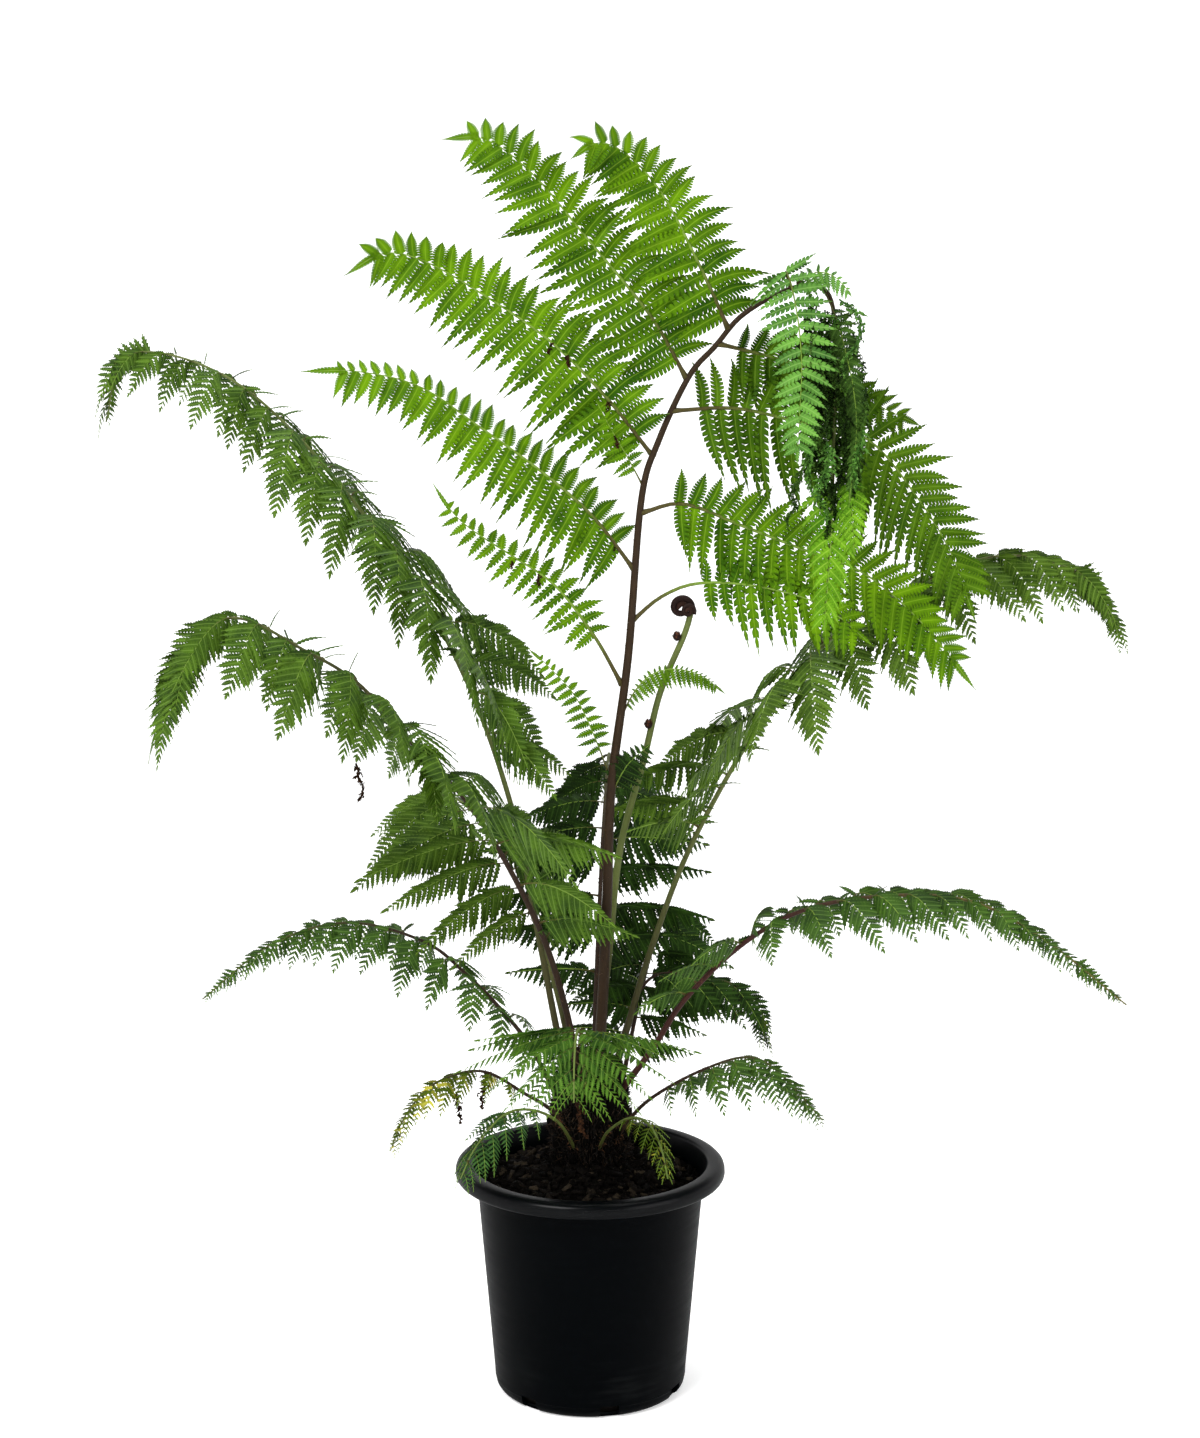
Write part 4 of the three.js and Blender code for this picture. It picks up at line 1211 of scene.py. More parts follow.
FRONDS = (
    FrondShape(
        node="frond_upper_left",
        stem=(
            (-28, 34, 380), (-42, 37, 445), (-60, 45, 540), (-92, 50, 705), (-140, 60, 850), (-205, 70, 980),
            (-270, 80, 1070), (-350, 88, 1165), (-425, 95, 1230), (-505, 105, 1262), (-562, 112, 1255),
            (-585, 120, 1180),
        ),
        girth=(5, 1), bare=0.34, pairs=19, reach=215, lift=(62, 40), droop=(0.6, 0.95), last=0.2, seed=11,
        leaf=LeafColour.DARK, stalk=StalkColour.OLIVE, leaflet=60, spacing=9.6, half=5.8,
    ),
    FrondShape(
        node="frond_middle_left",
        stem=(
            (-14, 8, 385), (-30, 0, 480), (-65, -20, 595), (-135, -38, 730), (-205, -58, 815),
            (-270, -78, 895), (-335, -98, 940), (-392, -112, 974), (-432, -122, 970), (-462, -132, 924),
            (-480, -138, 866),
        ),
        girth=(5, 1), bare=0.2, pairs=17, reach=195, lift=(66, 36), droop=(0.45, 0.95), last=0.5, seed=23,
        leaf=LeafColour.DARK, stalk=StalkColour.UMBER, leaflet=60, spacing=9.6, half=5.8,
        curls=((-263, -95, 776),),
    ),
    FrondShape(
        node="frond_low_left",
        stem=(
            (-36, 24, 350), (-72, 30, 420), (-105, 45, 460), (-150, 55, 505), (-205, 70, 545),
            (-300, 85, 565), (-395, 95, 535), (-485, 110, 460),
        ),
        girth=(3.5, 0.9), bare=0.12, pairs=15, reach=110, lift=(55, 30), droop=(0.75, 0.95), last=0.12, seed=31,
        leaf=LeafColour.LOW, stalk=StalkColour.UMBER, leaflet=34, spacing=8.2, half=5.0,
    ),
    FrondShape(
        node="frond_rear_left",
        stem=(
            (-18, 56, 370), (-42, 84, 475), (-75, 122, 570), (-115, 162, 640), (-155, 212, 682),
            (-195, 272, 690), (-228, 335, 662),
        ),
        girth=(4, 1), bare=0.36, pairs=12, reach=195, lift=(10, 10), droop=(0.45, 0.7), last=0.3, seed=43,
        leaf=LeafColour.GREY, stalk=StalkColour.OLIVE, leaflet=50, spacing=9.2, half=5.6,
    ),
    FrondShape(
        node="frond_low_right",
        stem=(
            (34, 12, 368), (75, -5, 430), (115, -25, 500), (185, -45, 575), (260, -65, 622), (360, -82, 642),
            (450, -100, 638), (535, -120, 595), (625, -140, 525),
        ),
        girth=(4.6, 0.9), bare=0.2, pairs=17, reach=118, lift=(72, 40), droop=(0.5, 0.95), last=0.12, seed=57,
        leaf=LeafColour.LOW, stalk=StalkColour.RED, leaflet=38, spacing=8.2, half=5.2,
    ),
    FrondShape(
        node="frond_upper_right",
        stem=(
            (28, 40, 380), (46, 46, 445), (75, 60, 540), (125, 72, 670), (210, 88, 820), (290, 102, 915),
            (365, 112, 965), (490, 126, 1015), (595, 136, 995), (655, 146, 915),
        ),
        girth=(5, 1), bare=0.3, pairs=18, reach=200, lift=(66, 40), droop=(0.5, 0.95), last=0.25, seed=61,
        leaf=LeafColour.GREY, stalk=StalkColour.OLIVE, leaflet=61, spacing=9.6, half=5.8,
    ),
    FrondShape(
        node="frond_middle_right",
        stem=(
            (24, 60, 368), (50, 74, 455), (80, 84, 498),
            (140, 95, 492), (195, 108, 470), (222, 120, 400),
        ),
        girth=(3.2, 0.8), bare=0.3, pairs=9, reach=92, lift=(30, 10), droop=(0.5, 0.85), last=0.3, seed=71,
        leaf=LeafColour.DEEP, stalk=StalkColour.UMBER, leaflet=32, spacing=8.2, half=5.0, tone=0.1,
        curls=((176, 100, 474), (186, 104, 470)),
    ),
    FrondShape(
        node="frond_rear",
        stem=(
            (4, 60, 375), (8, 100, 500), (14, 165, 630),
            (20, 250, 710), (24, 350, 725), (28, 450, 650),
        ),
        girth=(4.5, 1), bare=0.16, pairs=14, reach=160, lift=(10, 0), droop=(0.35, 0.75), last=0.2, seed=83,
        leaf=LeafColour.DEEP, stalk=StalkColour.UMBER, leaflet=54, spacing=9.0, half=6.4,
    ),
    FrondShape(
        node="frond_rear_right",
        stem=((36, 30, 362), (62, 95, 470), (84, 150, 532), (105, 210, 548), (122, 268, 512)),
        girth=(3.6, 0.9), bare=0.16, pairs=12, reach=130, lift=(20, 0), droop=(0.4, 0.8), last=0.3, seed=97,
        leaf=LeafColour.DEEP, stalk=StalkColour.UMBER, leaflet=46, spacing=8.6, half=6.0,
    ),
    FrondShape(
        node="frond_front",
        stem=(
            (-6, -8, 366), (-8, -36, 432), (-12, -80, 476),
            (-16, -130, 484), (-18, -175, 464), (-18, -206, 428),
        ),
        girth=(3.4, 0.9), bare=0.3, pairs=10, reach=150, lift=(12, 0), droop=(0.3, 0.5), last=0.2, seed=101,
        leaf=LeafColour.YOUNG, stalk=StalkColour.GREEN, leaflet=34, spacing=8.8, half=5.0,
        curls=((-18, -206, 430),),
    ),
    FrondShape(
        node="frond_yellowing",
        stem=(
            (-26, -4, 325), (-48, -18, 358), (-78, -32, 382), (-130, -45, 415), (-185, -60, 405),
            (-220, -75, 370), (-238, -90, 330),
        ),
        girth=(3, 0.8), bare=0.3, pairs=10, reach=58, lift=(20, 10), droop=(0.6, 0.9), last=0.3, seed=113,
        leaf=LeafColour.YELLOW, stalk=StalkColour.UMBER, leaflet=20, spacing=6.6, half=3.6,
        pattern=TINY_LEAFLET, tone=0.22, curls=((-166, -52, 392), (-132, -44, 398)),
    ),
    FrondShape(
        node="frond_front_right",
        stem=(
            (28, -4, 310), (48, -14, 345), (78, -26, 378), (135, -40, 415),
            (190, -52, 435), (228, -66, 418), (278, -80, 365),
        ),
        girth=(3, 0.8), bare=0.3, pairs=10, reach=80, lift=(15, 10), droop=(0.6, 0.9), last=0.25, seed=127,
        leaf=LeafColour.LOW, stalk=StalkColour.UMBER, leaflet=28, spacing=8.4, half=5.0,
    ),
    FrondShape(
        node="frond_over_rim",
        stem=(
            (-18, -12, 305), (-38, -38, 348), (-70, -62, 372),
            (-103, -92, 375), (-135, -122, 345), (-152, -146, 315),
        ),
        girth=(2.6, 0.8), bare=0.34, pairs=8, reach=66, lift=(0, 0), droop=(0.45, 0.8), last=0.4, seed=131,
        # Its leaves take the darker, bluer green painted as shade.
        leaf=LeafColour.SHADED, stalk=StalkColour.GREEN, leaflet=18, spacing=6.0, half=3.6,
        pattern=TINY_LEAFLET, scales=60,
    ),
    FrondShape(
        node="frond_over_soil",
        stem=(
            (10, -14, 306), (22, -40, 338), (48, -62, 362),
            (70, -84, 362), (85, -108, 338), (92, -126, 308),
        ),
        girth=(2.4, 0.8), bare=0.36, pairs=9, reach=36, lift=(0, 0), droop=(0.4, 0.7), last=0.4, seed=139,
        leaf=LeafColour.YELLOW, stalk=StalkColour.GREEN, leaflet=12, spacing=5.0, half=2.8,
        pattern=TINY_LEAFLET, tone=0.14, scales=60,
    ),
)


class MainLeaf(Enum):
    """The finishes of the main frond, in the order of its mesh."""

    STALK = 0
    BRIGHT = 1
    RIB = 2
    SCALES = 3
    SIDE = 4
    HANGING = 5
    CURLED = 6
    TIP = 7
    DEEP = 8
    WITHERED = 9


@dataclass(frozen=True)
class MainPinna:
    """One large pinna of the main frond, with its own sweep."""

    points: Points
    reach: float
    stalk: float
    leaf: MainLeaf = MainLeaf.BRIGHT
    hang: float = 0.12
    spacing: float = 17.6
    half: float = 10.8
    start: float = 0.72
    fade: float = 2.4
    twist: float = 8.0
    droop: float = 0.18
    curve: float = 0.14
    upper: float = 0.9
    taper: float = 0.62
    end: float = 0.91
    cuts: Tuple[float, float] = (0.66, 0.48)
    angles: Tuple[float, float] = (84.0, 56.0)
    rib: float = 2.5


@dataclass
class MainFrond:
    """The tall frond that is still unrolling, with its large bright pinnae and curled end."""

    node: str = "frond_main"
    girth: Tuple[float, float] = (7.6, 1.0)
    stem: Points = (
        (8, 10, 385), (14, 0, 480), (20, -4, 615), (25, -6, 755), (45, -8, 915), (60, -10, 1100),
        (80, -14, 1170), (115, -16, 1245), (145, -20, 1280), (175, -22, 1315), (220, -25, 1342),
        (258, -28, 1350), (280, -32, 1325), (283, -40, 1220), (281, -46, 1130), (278, -52, 1035),
        (272, -60, 955),
    )
    pinnae: Tuple[MainPinna, ...] = (
        MainPinna(((160, -22, 1300), (130, -32, 1365), (85, -44, 1450), (45, -56, 1496), (10, -68, 1511),
                   (-22, -80, 1492)), 84, 0.04, twist=14, fade=1.7, droop=0.26),
        MainPinna(((112, -16, 1243), (70, -8, 1315), (-5, 2, 1405), (-65, 10, 1475), (-120, 18, 1515),
                   (-172, 26, 1515)), 84, 0.05, fade=2.4, droop=0.2),
        MainPinna(((75, -12, 1150), (20, -18, 1220), (-45, -28, 1286), (-125, -40, 1342), (-190, -50, 1379),
                   (-235, -56, 1387), (-280, -62, 1362)), 82, 0.06, twist=-10, hang=0.25, fade=2.4, droop=0.2),
        MainPinna(((52, -9, 1018), (5, -18, 1080), (-50, -30, 1131), (-130, -44, 1191), (-195, -54, 1236),
                   (-265, -64, 1254), (-330, -72, 1254)), 78, 0.07, twist=30, hang=0.42, half=10.4, fade=1.7,
                  upper=0.62),
        MainPinna(((38, -8, 880), (5, -14, 940), (-40, -20, 1000), (-90, -26, 1036), (-135, -30, 1066),
                   (-160, -33, 1089), (-182, -36, 1123)), 42, 0.2, spacing=16, half=6.6, twist=-20, hang=0.3),
        MainPinna(((63, -10, 1115), (45, -24, 1150), (25, -34, 1185), (8, -42, 1218)), 26, 0.2, half=5,
                  spacing=11, rib=1.0),
        MainPinna(((25, -6, 765), (5, -14, 820), (-18, -22, 870), (-48, -28, 905), (-72, -34, 928)), 26, 0.2,
                  half=5, spacing=12, twist=-12, hang=0.3, rib=1.0),
        MainPinna(((148, -20, 1283), (205, -2, 1268), (270, 16, 1247), (330, 32, 1212), (392, 48, 1182)), 60,
                  0.08, hang=0.4, fade=1.7, leaf=MainLeaf.SIDE),
        MainPinna(((95, -15, 1205), (170, -6, 1207), (245, 4, 1190), (325, 14, 1170), (388, 22, 1098),
                   (430, 28, 1030), (462, 34, 945)), 98, 0.06, hang=0.25, half=9.4, twist=-8, curve=0.2,
                  fade=2.8, leaf=MainLeaf.SIDE),
        MainPinna(((60, -10, 1085), (110, -4, 1095), (180, 4, 1068), (250, 10, 1040), (325, 16, 1010),
                   (395, 20, 950), (462, 24, 868)), 78, 0.08, hang=0.35, half=9.6, fade=2.6),
        MainPinna(((48, -8, 955), (85, -2, 985), (130, 4, 1000), (200, 10, 995), (275, 14, 972),
                   (338, 18, 922)), 66, 0.3, hang=0.55, half=8.0, twist=-8, start=0.5, fade=2.6),
        MainPinna(((36, -7, 838), (52, -5, 870), (72, -3, 891), (98, 0, 898), (131, 4, 890),
                   (162, 8, 866)), 25, 0.1, half=3.8, spacing=6.8, hang=0.5, upper=0.4, start=0.35, rib=1.1,
                  leaf=MainLeaf.SIDE),
        MainPinna(((26, -6, 748), (45, -14, 785), (72, -24, 812)), 28, 0.15, half=5, spacing=9, twist=-8,
                  rib=0.9, leaf=MainLeaf.DEEP),
        MainPinna(((238, -30, 1352), (262, -40, 1366), (284, -46, 1358), (300, -50, 1338)), 26, 0.0,
                  leaf=MainLeaf.HANGING, half=5.4, spacing=9, hang=0.3, upper=0.6, start=1.0, fade=1.4, rib=1.0),
        MainPinna(((231, -26, 1345), (224, -40, 1368), (230, -58, 1352), (238, -66, 1310), (242, -74, 1262),
                   (240, -82, 1212), (237, -90, 1150)), 47, 0.06, leaf=MainLeaf.HANGING, half=6.2,
                  spacing=13.5, start=0.9, fade=2.6, hang=0.0, droop=0.06, curve=0.1, angles=(88, 64),
                  cuts=(0.75, 0.55), end=0.94, rib=1.2),
        MainPinna(((270, -30, 1345), (290, -52, 1290), (306, -66, 1200), (298, -76, 1100)), 22, 0.1,
                  leaf=MainLeaf.CURLED, half=4, spacing=8, fade=1.8, hang=0.5, rib=0.9),
        MainPinna(((283, -46, 1160), (281, -56, 1100), (278, -62, 1035), (272, -64, 950)), 52, 0.16,
                  leaf=MainLeaf.TIP, half=6.8, spacing=14.5, start=0.9, fade=0.72, hang=0.42, rib=1.2),
        MainPinna(((296, -48, 1150), (302, -60, 1105), (306, -66, 1040)), 26, 0.2, leaf=MainLeaf.TIP, half=5,
                  spacing=10, hang=0.4, rib=0.9),
    )
    curled: int = 44
    withered: Points = (
        (-52, -30, 1280), (-35, -28, 1262), (18, -18, 1215), (33, -16, 1180), (10, -18, 1072), (30, -14, 1048),
        (-92, -26, 1030), (-62, -22, 1010),
    )

    def build(self) -> bpy.types.Object:
        """Makes the frond.

        Returns:
            Its object.
        """
        finishes = (
            StalkColour.BROWN.value, LeafColour.BRIGHT.value, StalkColour.RIB.value, SCALES,
            LeafColour.SIDE.value, LeafColour.HANGING.value, LeafColour.CURLED.value, LeafColour.TIP.value,
            LeafColour.DEEP.value, LeafColour.WITHERED.value,
        )
        mesher = Mesher("frond_main_leaves", [dressed(finish) for finish in finishes])
        path = Path.through(self.stem)
        mesher.tube(path, lambda t: mix(*self.girth, t), 190, 14, 0, groove=0.15)
        pinnae = [self._pinna(pinna, number) for number, pinna in enumerate(self.pinnae)]
        for shape, pinna in zip(self.pinnae, pinnae):
            pinna.add_to(mesher, shape.leaf.value, MainLeaf.RIB.value)
        held = np.vstack([pinna.path.samples for pinna in pinnae])
        for number, spot in enumerate(self.withered):
            top = nearest(held, spot)
            add_withered(mesher, top, 15.0, MainLeaf.WITHERED.value, 500 + number, 3.0)
        self._add_curled(mesher, path)
        add_scales(mesher, path, self.girth, (0.02, 0.62), 420, 6.0, MainLeaf.SCALES.value)
        return mesher.build()

    def _pinna(self, shape: MainPinna, number: int) -> Pinna:
        """Works out one large pinna.

        Args:
            shape: Its own sizes.
            number: Its number, which seeds it.

        Returns:
            The pinna.
        """
        return Pinna(
            path=Path.through(shape.points),
            facing=DEPTH,
            twist=shape.twist,
            stalk=shape.stalk,
            reach=shape.reach,
            spacing=shape.spacing,
            half=shape.half,
            pattern=LARGE_LEAFLET if shape.half > 8 else CUT_LEAFLET,
            angles=shape.angles,
            cuts=shape.cuts,
            start=shape.start,
            fade=shape.fade,
            hang=shape.hang,
            droop=shape.droop,
            curve=shape.curve,
            upper=shape.upper,
            taper=shape.taper,
            end=shape.end,
            rib=(shape.rib, 0.35),
            seed=701 + number,
        )

    def _add_curled(self, mesher: Mesher, path: Path) -> None:
        """Adds the dark strands, still curled, that hang from the unrolling end.

        Args:
            mesher: Where they go.
            path: The stalk's line.
        """
        chance = np.random.RandomState(41)
        for strand in range(self.curled):
            share = strand / self.curled
            top = path.at([mix(0.735, 0.86, share)])[0]
            top = top + np.array([chance.uniform(-30, 34), chance.uniform(-34, 8), chance.uniform(-14, 4)])
            long = chance.uniform(55, 125)
            leaf = (MainLeaf.CURLED, MainLeaf.HANGING, MainLeaf.CURLED, MainLeaf.DEEP)[strand % 4]
            add_withered(mesher, top, long, leaf.value, 300 + strand, chance.uniform(8, 12))


@dataclass
class Crozier:
    """The young frond that is still coiled, on its hairy stalk."""

    node: str = "crozier"
    stem: Points = (
        (6, 36, 385), (12, 34, 450), (22, 32, 535), (36, 30, 670),
        (64, 26, 780), (84, 24, 865), (112, 20, 935), (120, 20, 962),
    )
    girth: Tuple[float, float] = (5.0, 3.6)
    coils: Tuple[Tuple[Point, float], ...] = (((108.6, 20, 969), 12.4), ((116.5, 11, 966), 7.0))
    coil_girth: Tuple[float, float] = (5.0, 3.2)
    buds: Tuple[Tuple[Point, float], ...] = (((103.5, 17, 934), 5.6), ((70, 20, 827), 5.6))

    @staticmethod
    def coil(centre: Point, size: float) -> Path:
        """The line of one coil.

        Args:
            centre: The coil's middle.
            size: Its outer radius.

        Returns:
            The line, from the stalk to the coil's heart.
        """
        share = np.linspace(0, 1, 90)
        angle = math.pi * (-0.16 + 3.3 * share)
        radius = size * mix(1.0, 0.18, share)
        return Path(np.column_stack([
            centre[0] + radius * np.cos(angle),
            centre[1] - 5.0 * share,
            centre[2] + radius * np.sin(angle),
        ]))

    def build(self) -> bpy.types.Object:
        """Makes the crozier.

        Returns:
            Its object.
        """
        finishes = [StalkColour.OLIVE.value, COIL_SCALES, SCALES]
        mesher = Mesher("crozier_stalk", [dressed(finish) for finish in finishes])
        path = Path.through(self.stem)
        mesher.tube(path, lambda t: mix(*self.girth, t**0.8), 90, 14, 0)
        for centre, size in self.coils:
            coil = self.coil(centre, size)
            girth = tuple(part * min(1.0, 0.3 + size / 18) for part in self.coil_girth)
            mesher.tube(coil, lambda t, girth=girth: mix(*girth, t), 60, 12, 1)
            add_scales(mesher, coil, girth, (0.0, 1.0), 320, 3.0, 1)
        for centre, radius in self.buds:
            self._add_bud(mesher, np.array(centre, float), radius)
        add_scales(mesher, path, self.girth, (0.02, 1.0), 900, 3.2, 2)
        return mesher.build()

    def _add_bud(self, mesher: Mesher, centre: Array, radius: float) -> None:
        """Adds a coiled bud, a ball of overlapping scales.

        Args:
            mesher: Where it goes.
            centre: The bud's middle.
            radius: Its radius.
        """
        chance = np.random.RandomState(int(radius * 10))
        ball = Path(centre + np.array([[0, 0, z * radius] for z in np.linspace(-0.95, 0.95, 20)]))
        mesher.tube(ball, lambda t: radius * np.sqrt(np.maximum(0.02, 1 - (2 * t - 1) ** 2)) * 0.85, 10, 10, 1)
        out = unit(chance.randn(130, 3))
        along = unit(out * 0.5 + UP * 0.7)
        across = unit(np.cross(along, out))
        sizes = np.column_stack([chance.uniform(2.5, 4.5, 130), chance.uniform(0.8, 1.5, 130)])
        mesher.blades(centre + out * radius * 0.75, along, across, sizes, 1, chance.rand(130))


@dataclass
class NurseryPot:
    """The moulded pot with its rolled rim and drain holes."""

    node: str = "pot"
    height: float = 288.0
    rim_radius: float = 165.0
    rim_opening: float = 143.0
    rim_drop: float = 19.0
    body_top: float = 139.0
    body_foot: float = 117.0
    foot_flat: float = 105.0
    foot_curve: float = 13.0
    wall: float = 2.6
    floor: float = 3.0
    sides: int = 144
    drains: int = 7
    drain_width: float = 23.0
    drain_height: float = 16.0
    drain_first: float = -39.6

    def profile(self) -> Array:
        """The outline from the foot's middle, over the rim, to the floor's middle.

        Returns:
            Radius and height, one point a row.
        """
        under = self.height - self.rim_drop
        span = self.rim_radius - self.rim_opening
        outline = [(0.0, 0.0), (self.foot_flat - 4, 0.0), (self.foot_flat, 0.4)]
        corner = self.body_foot - self.foot_flat
        for angle in np.radians([25, 45, 65, 85]):
            outline.append((self.foot_flat + corner * math.sin(angle), self.foot_curve * (1 - math.cos(angle))))
        outline.append((self.body_foot + 0.1, self.foot_curve + 1.5))
        outline.append((self.body_foot + 0.7, self.foot_curve + 2.2))
        for share in np.linspace(0.03, 0.985, 16):
            outline.append((mix(self.body_foot + 0.4, self.body_top, share), mix(16, under, share)))
        outline += [(self.body_top + 0.4, under - 0.6), (self.body_top + 1.4, under)]
        outline += [(self.rim_radius - 6, under), (self.rim_radius - 2.2, under + 1.2)]
        outline += [(self.rim_radius - 0.6, under + 3.4), (self.rim_radius, under + 6)]
        outline += [(self.rim_radius - 0.3, under + 11), (self.rim_radius - 1.4, under + 14.5)]
        outline += [(self.rim_radius - 3.6, under + 17), (self.rim_radius - 6.6, under + 18.4)]
        outline += [(self.rim_radius - 0.45 * span, self.height), (self.rim_opening + 4, self.height)]
        outline += [(self.rim_opening + 1.6, self.height - 0.7), (self.rim_opening + 0.4, self.height - 2.2)]
        outline += [(self.rim_opening, self.height - 4), (self.body_top - self.wall, under - 6)]
        outline += [(self.body_foot - self.wall, self.foot_curve + 1), (self.foot_flat, self.floor)]
        outline.append((0.0, self.floor))
        return np.array(outline)

    def build(self) -> bpy.types.Object:
        """Makes the pot.

        Returns:
            Its object.
        """
        made = lathe("nursery_pot", self.profile(), self.sides, dressed(POT_PLASTIC))
        cutter = self._drain_cutter()
        cut = made.modifiers.new("drains", "BOOLEAN")
        cut.operation = "DIFFERENCE"
        cut.solver = "EXACT"
        cut.object = cutter
        applied(made)
        bpy.data.objects.remove(cutter)
        for polygon in made.data.polygons:
            polygon.use_smooth = True
        made.data.set_sharp_from_angle(angle=math.radians(38))
        return made

    def _drain_cutter(self) -> bpy.types.Object:
        """The boxes that cut the drain holes, as one object.

        Returns:
            The object.
        """
        vertices, faces = [], []
        corners = [(x, y, z) for x in (-0.5, 0.5) for y in (0, 1) for z in (0, 1)]
        for hole in range(self.drains):
            angle = math.radians(self.drain_first + hole * 360 / self.drains)
            for x, y, z in corners:
                side, reach = x * self.drain_width, -(self.foot_flat + 2 + 24 * y)
                spot = Vector((
                    side * math.cos(angle) - reach * math.sin(angle),
                    side * math.sin(angle) + reach * math.cos(angle),
                    1 + self.drain_height * z,
                ))
                vertices.append(spot * METRES)
            faces += [tuple(8 * hole + corner for corner in sheet[::-1]) for sheet in BOX_SIDES]
        mesh = bpy.data.meshes.new("drain_cutter")
        mesh.from_pydata(vertices, [], faces)
        return linked("drain_cutter", mesh)


@dataclass
class PottingMix:
    """The bark mix, a rough mound with loose pieces of bark on it."""

    node: str = "soil"
    edge: float = 262.0
    crown: float = 284.0
    wall_radius: float = 134.6
    foot_radius: float = 112.6
    foot: float = 3.4
    trunk: Tuple[float, float] = (0.0, 25.0)
    trunk_radius: float = 47.0
    chips: int = 2600
    chip_sizes: Tuple[float, float] = (3.0, 15.0)

    def level(self, x: Array, y: Array) -> Array:
        """The mound's height at a place.

        Args:
            x: The place across.
            y: The place in depth.

        Returns:
            The height there.
        """
        radius = np.hypot(x, y)
        rise = 1 - smooth(self.trunk_radius, self.wall_radius, radius)
        bumps = 1.8 * np.sin(0.21 * x + 1.3) * np.cos(0.24 * y - 0.6) + 1.2 * np.sin(0.47 * x - 0.38 * y + 2.1)
        grit = 0.9 * np.sin(1.1 * x + 2.0) * np.sin(1.3 * y) + 0.6 * np.sin(2.3 * x - 1.9 * y)
        return mix(self.edge, self.crown, rise) + (bumps + grit) * smooth(0, 12, self.wall_radius - radius)

    def build(self) -> bpy.types.Object:
        """Makes the mix.

        Returns:
            Its object.
        """
        mesher = Mesher("bark_potting_mix", [dressed(BARK)])
        self._add_ground(mesher)
        self._add_chips(mesher)
        return mesher.build()

    def _add_ground(self, mesher: Mesher) -> None:
        """Adds the body of the mix, closed below and at the sides.

        Args:
            mesher: Where it goes.
        """
        sides, rings = 96, 34
        angles = 2 * math.pi * np.arange(sides) / sides
        rows = []
        for ring in range(rings):
            radius = self.wall_radius * (ring + 1) / rings
            x, y = radius * np.cos(angles), radius * np.sin(angles)
            rows.append(np.column_stack([x, y, self.level(x, y)]))
        for radius, z in ((self.foot_radius, 17.0), (104.0, self.foot)):
            rows.append(np.column_stack([radius * np.cos(angles), radius * np.sin(angles), np.full(sides, z)]))
        top = np.array([[0.0, 0.0, float(self.level(np.array(0.0), np.array(0.0)))]])
        low = np.array([[0.0, 0.0, self.foot]])
        vertices = np.vstack([top] + rows + [low])
        turn = np.arange(sides)
        after = (turn + 1) % sides
        faces = [np.stack([np.zeros_like(turn), 1 + turn, 1 + after], -1)]
        for ring in range(len(rows) - 1):
            a, b = 1 + ring * sides, 1 + (ring + 1) * sides
            faces.append(np.stack([a + turn, b + turn, b + after], -1))
            faces.append(np.stack([a + turn, b + after, a + after], -1))
        last = 1 + (len(rows) - 1) * sides
        faces.append(np.stack([last + turn, np.full_like(turn, len(vertices) - 1), last + after], -1))
        grain = np.zeros((len(vertices), 3))
        grain[:, 2] = 0.3
        mesher.add(vertices, np.vstack(faces), 0, grain)

    def _add_chips(self, mesher: Mesher) -> None:
        """Scatters flat, crooked pieces of bark over the mound.

        Args:
            mesher: Where they go.
        """
        chance = np.random.RandomState(5)
        count = self.chips
        radius = self.wall_radius * 0.985 * np.sqrt(chance.rand(count))
        angle = 2 * math.pi * chance.rand(count)
        x, y = radius * np.cos(angle), radius * np.sin(angle)
        clear = np.hypot(x - self.trunk[0], y - self.trunk[1]) > self.trunk_radius - 3
        x, y, radius = x[clear], y[clear], radius[clear]
        count = len(x)
        size = mix(*self.chip_sizes, chance.rand(count) ** 2.6)
        size = np.minimum(size, 1.6 * (self.wall_radius - radius) + 2.5)
        middle = np.column_stack([x, y, self.level(x, y) + 0.12 * size])
        normal = unit(np.array([0, 0, 1.0]) + 0.42 * chance.randn(count, 3))
        along = unit(np.cross(normal, unit(chance.randn(count, 3))))
        across = np.cross(normal, along)
        corners = np.array([[x, y, z] for x in (-1, 1) for y in (-1, 1) for z in (-1, 1)], float)
        scale = np.column_stack([0.5 * size, 0.5 * size * chance.uniform(0.35, 0.75, count), 0.16 * size])
        spread = corners[None] * scale[:, None] * (1 + 0.22 * chance.randn(count, 8, 3))
        spots = middle[:, None] + spread[..., :1] * along[:, None] + spread[..., 1:2] * across[:, None]
        spots = spots + spread[..., 2:] * normal[:, None]
        box = np.array([part for a, b, c, d in BOX_SIDES for part in ((a, b, c), (a, c, d))])
        faces = box[None] + 8 * np.arange(count)[:, None, None]
        grain = np.zeros((count, 8, 3))
        grain[..., 2] = chance.rand(count)[:, None]
        mesher.add(spots.reshape(-1, 3), faces.reshape(-1, 3), 0, grain.reshape(-1, 3))


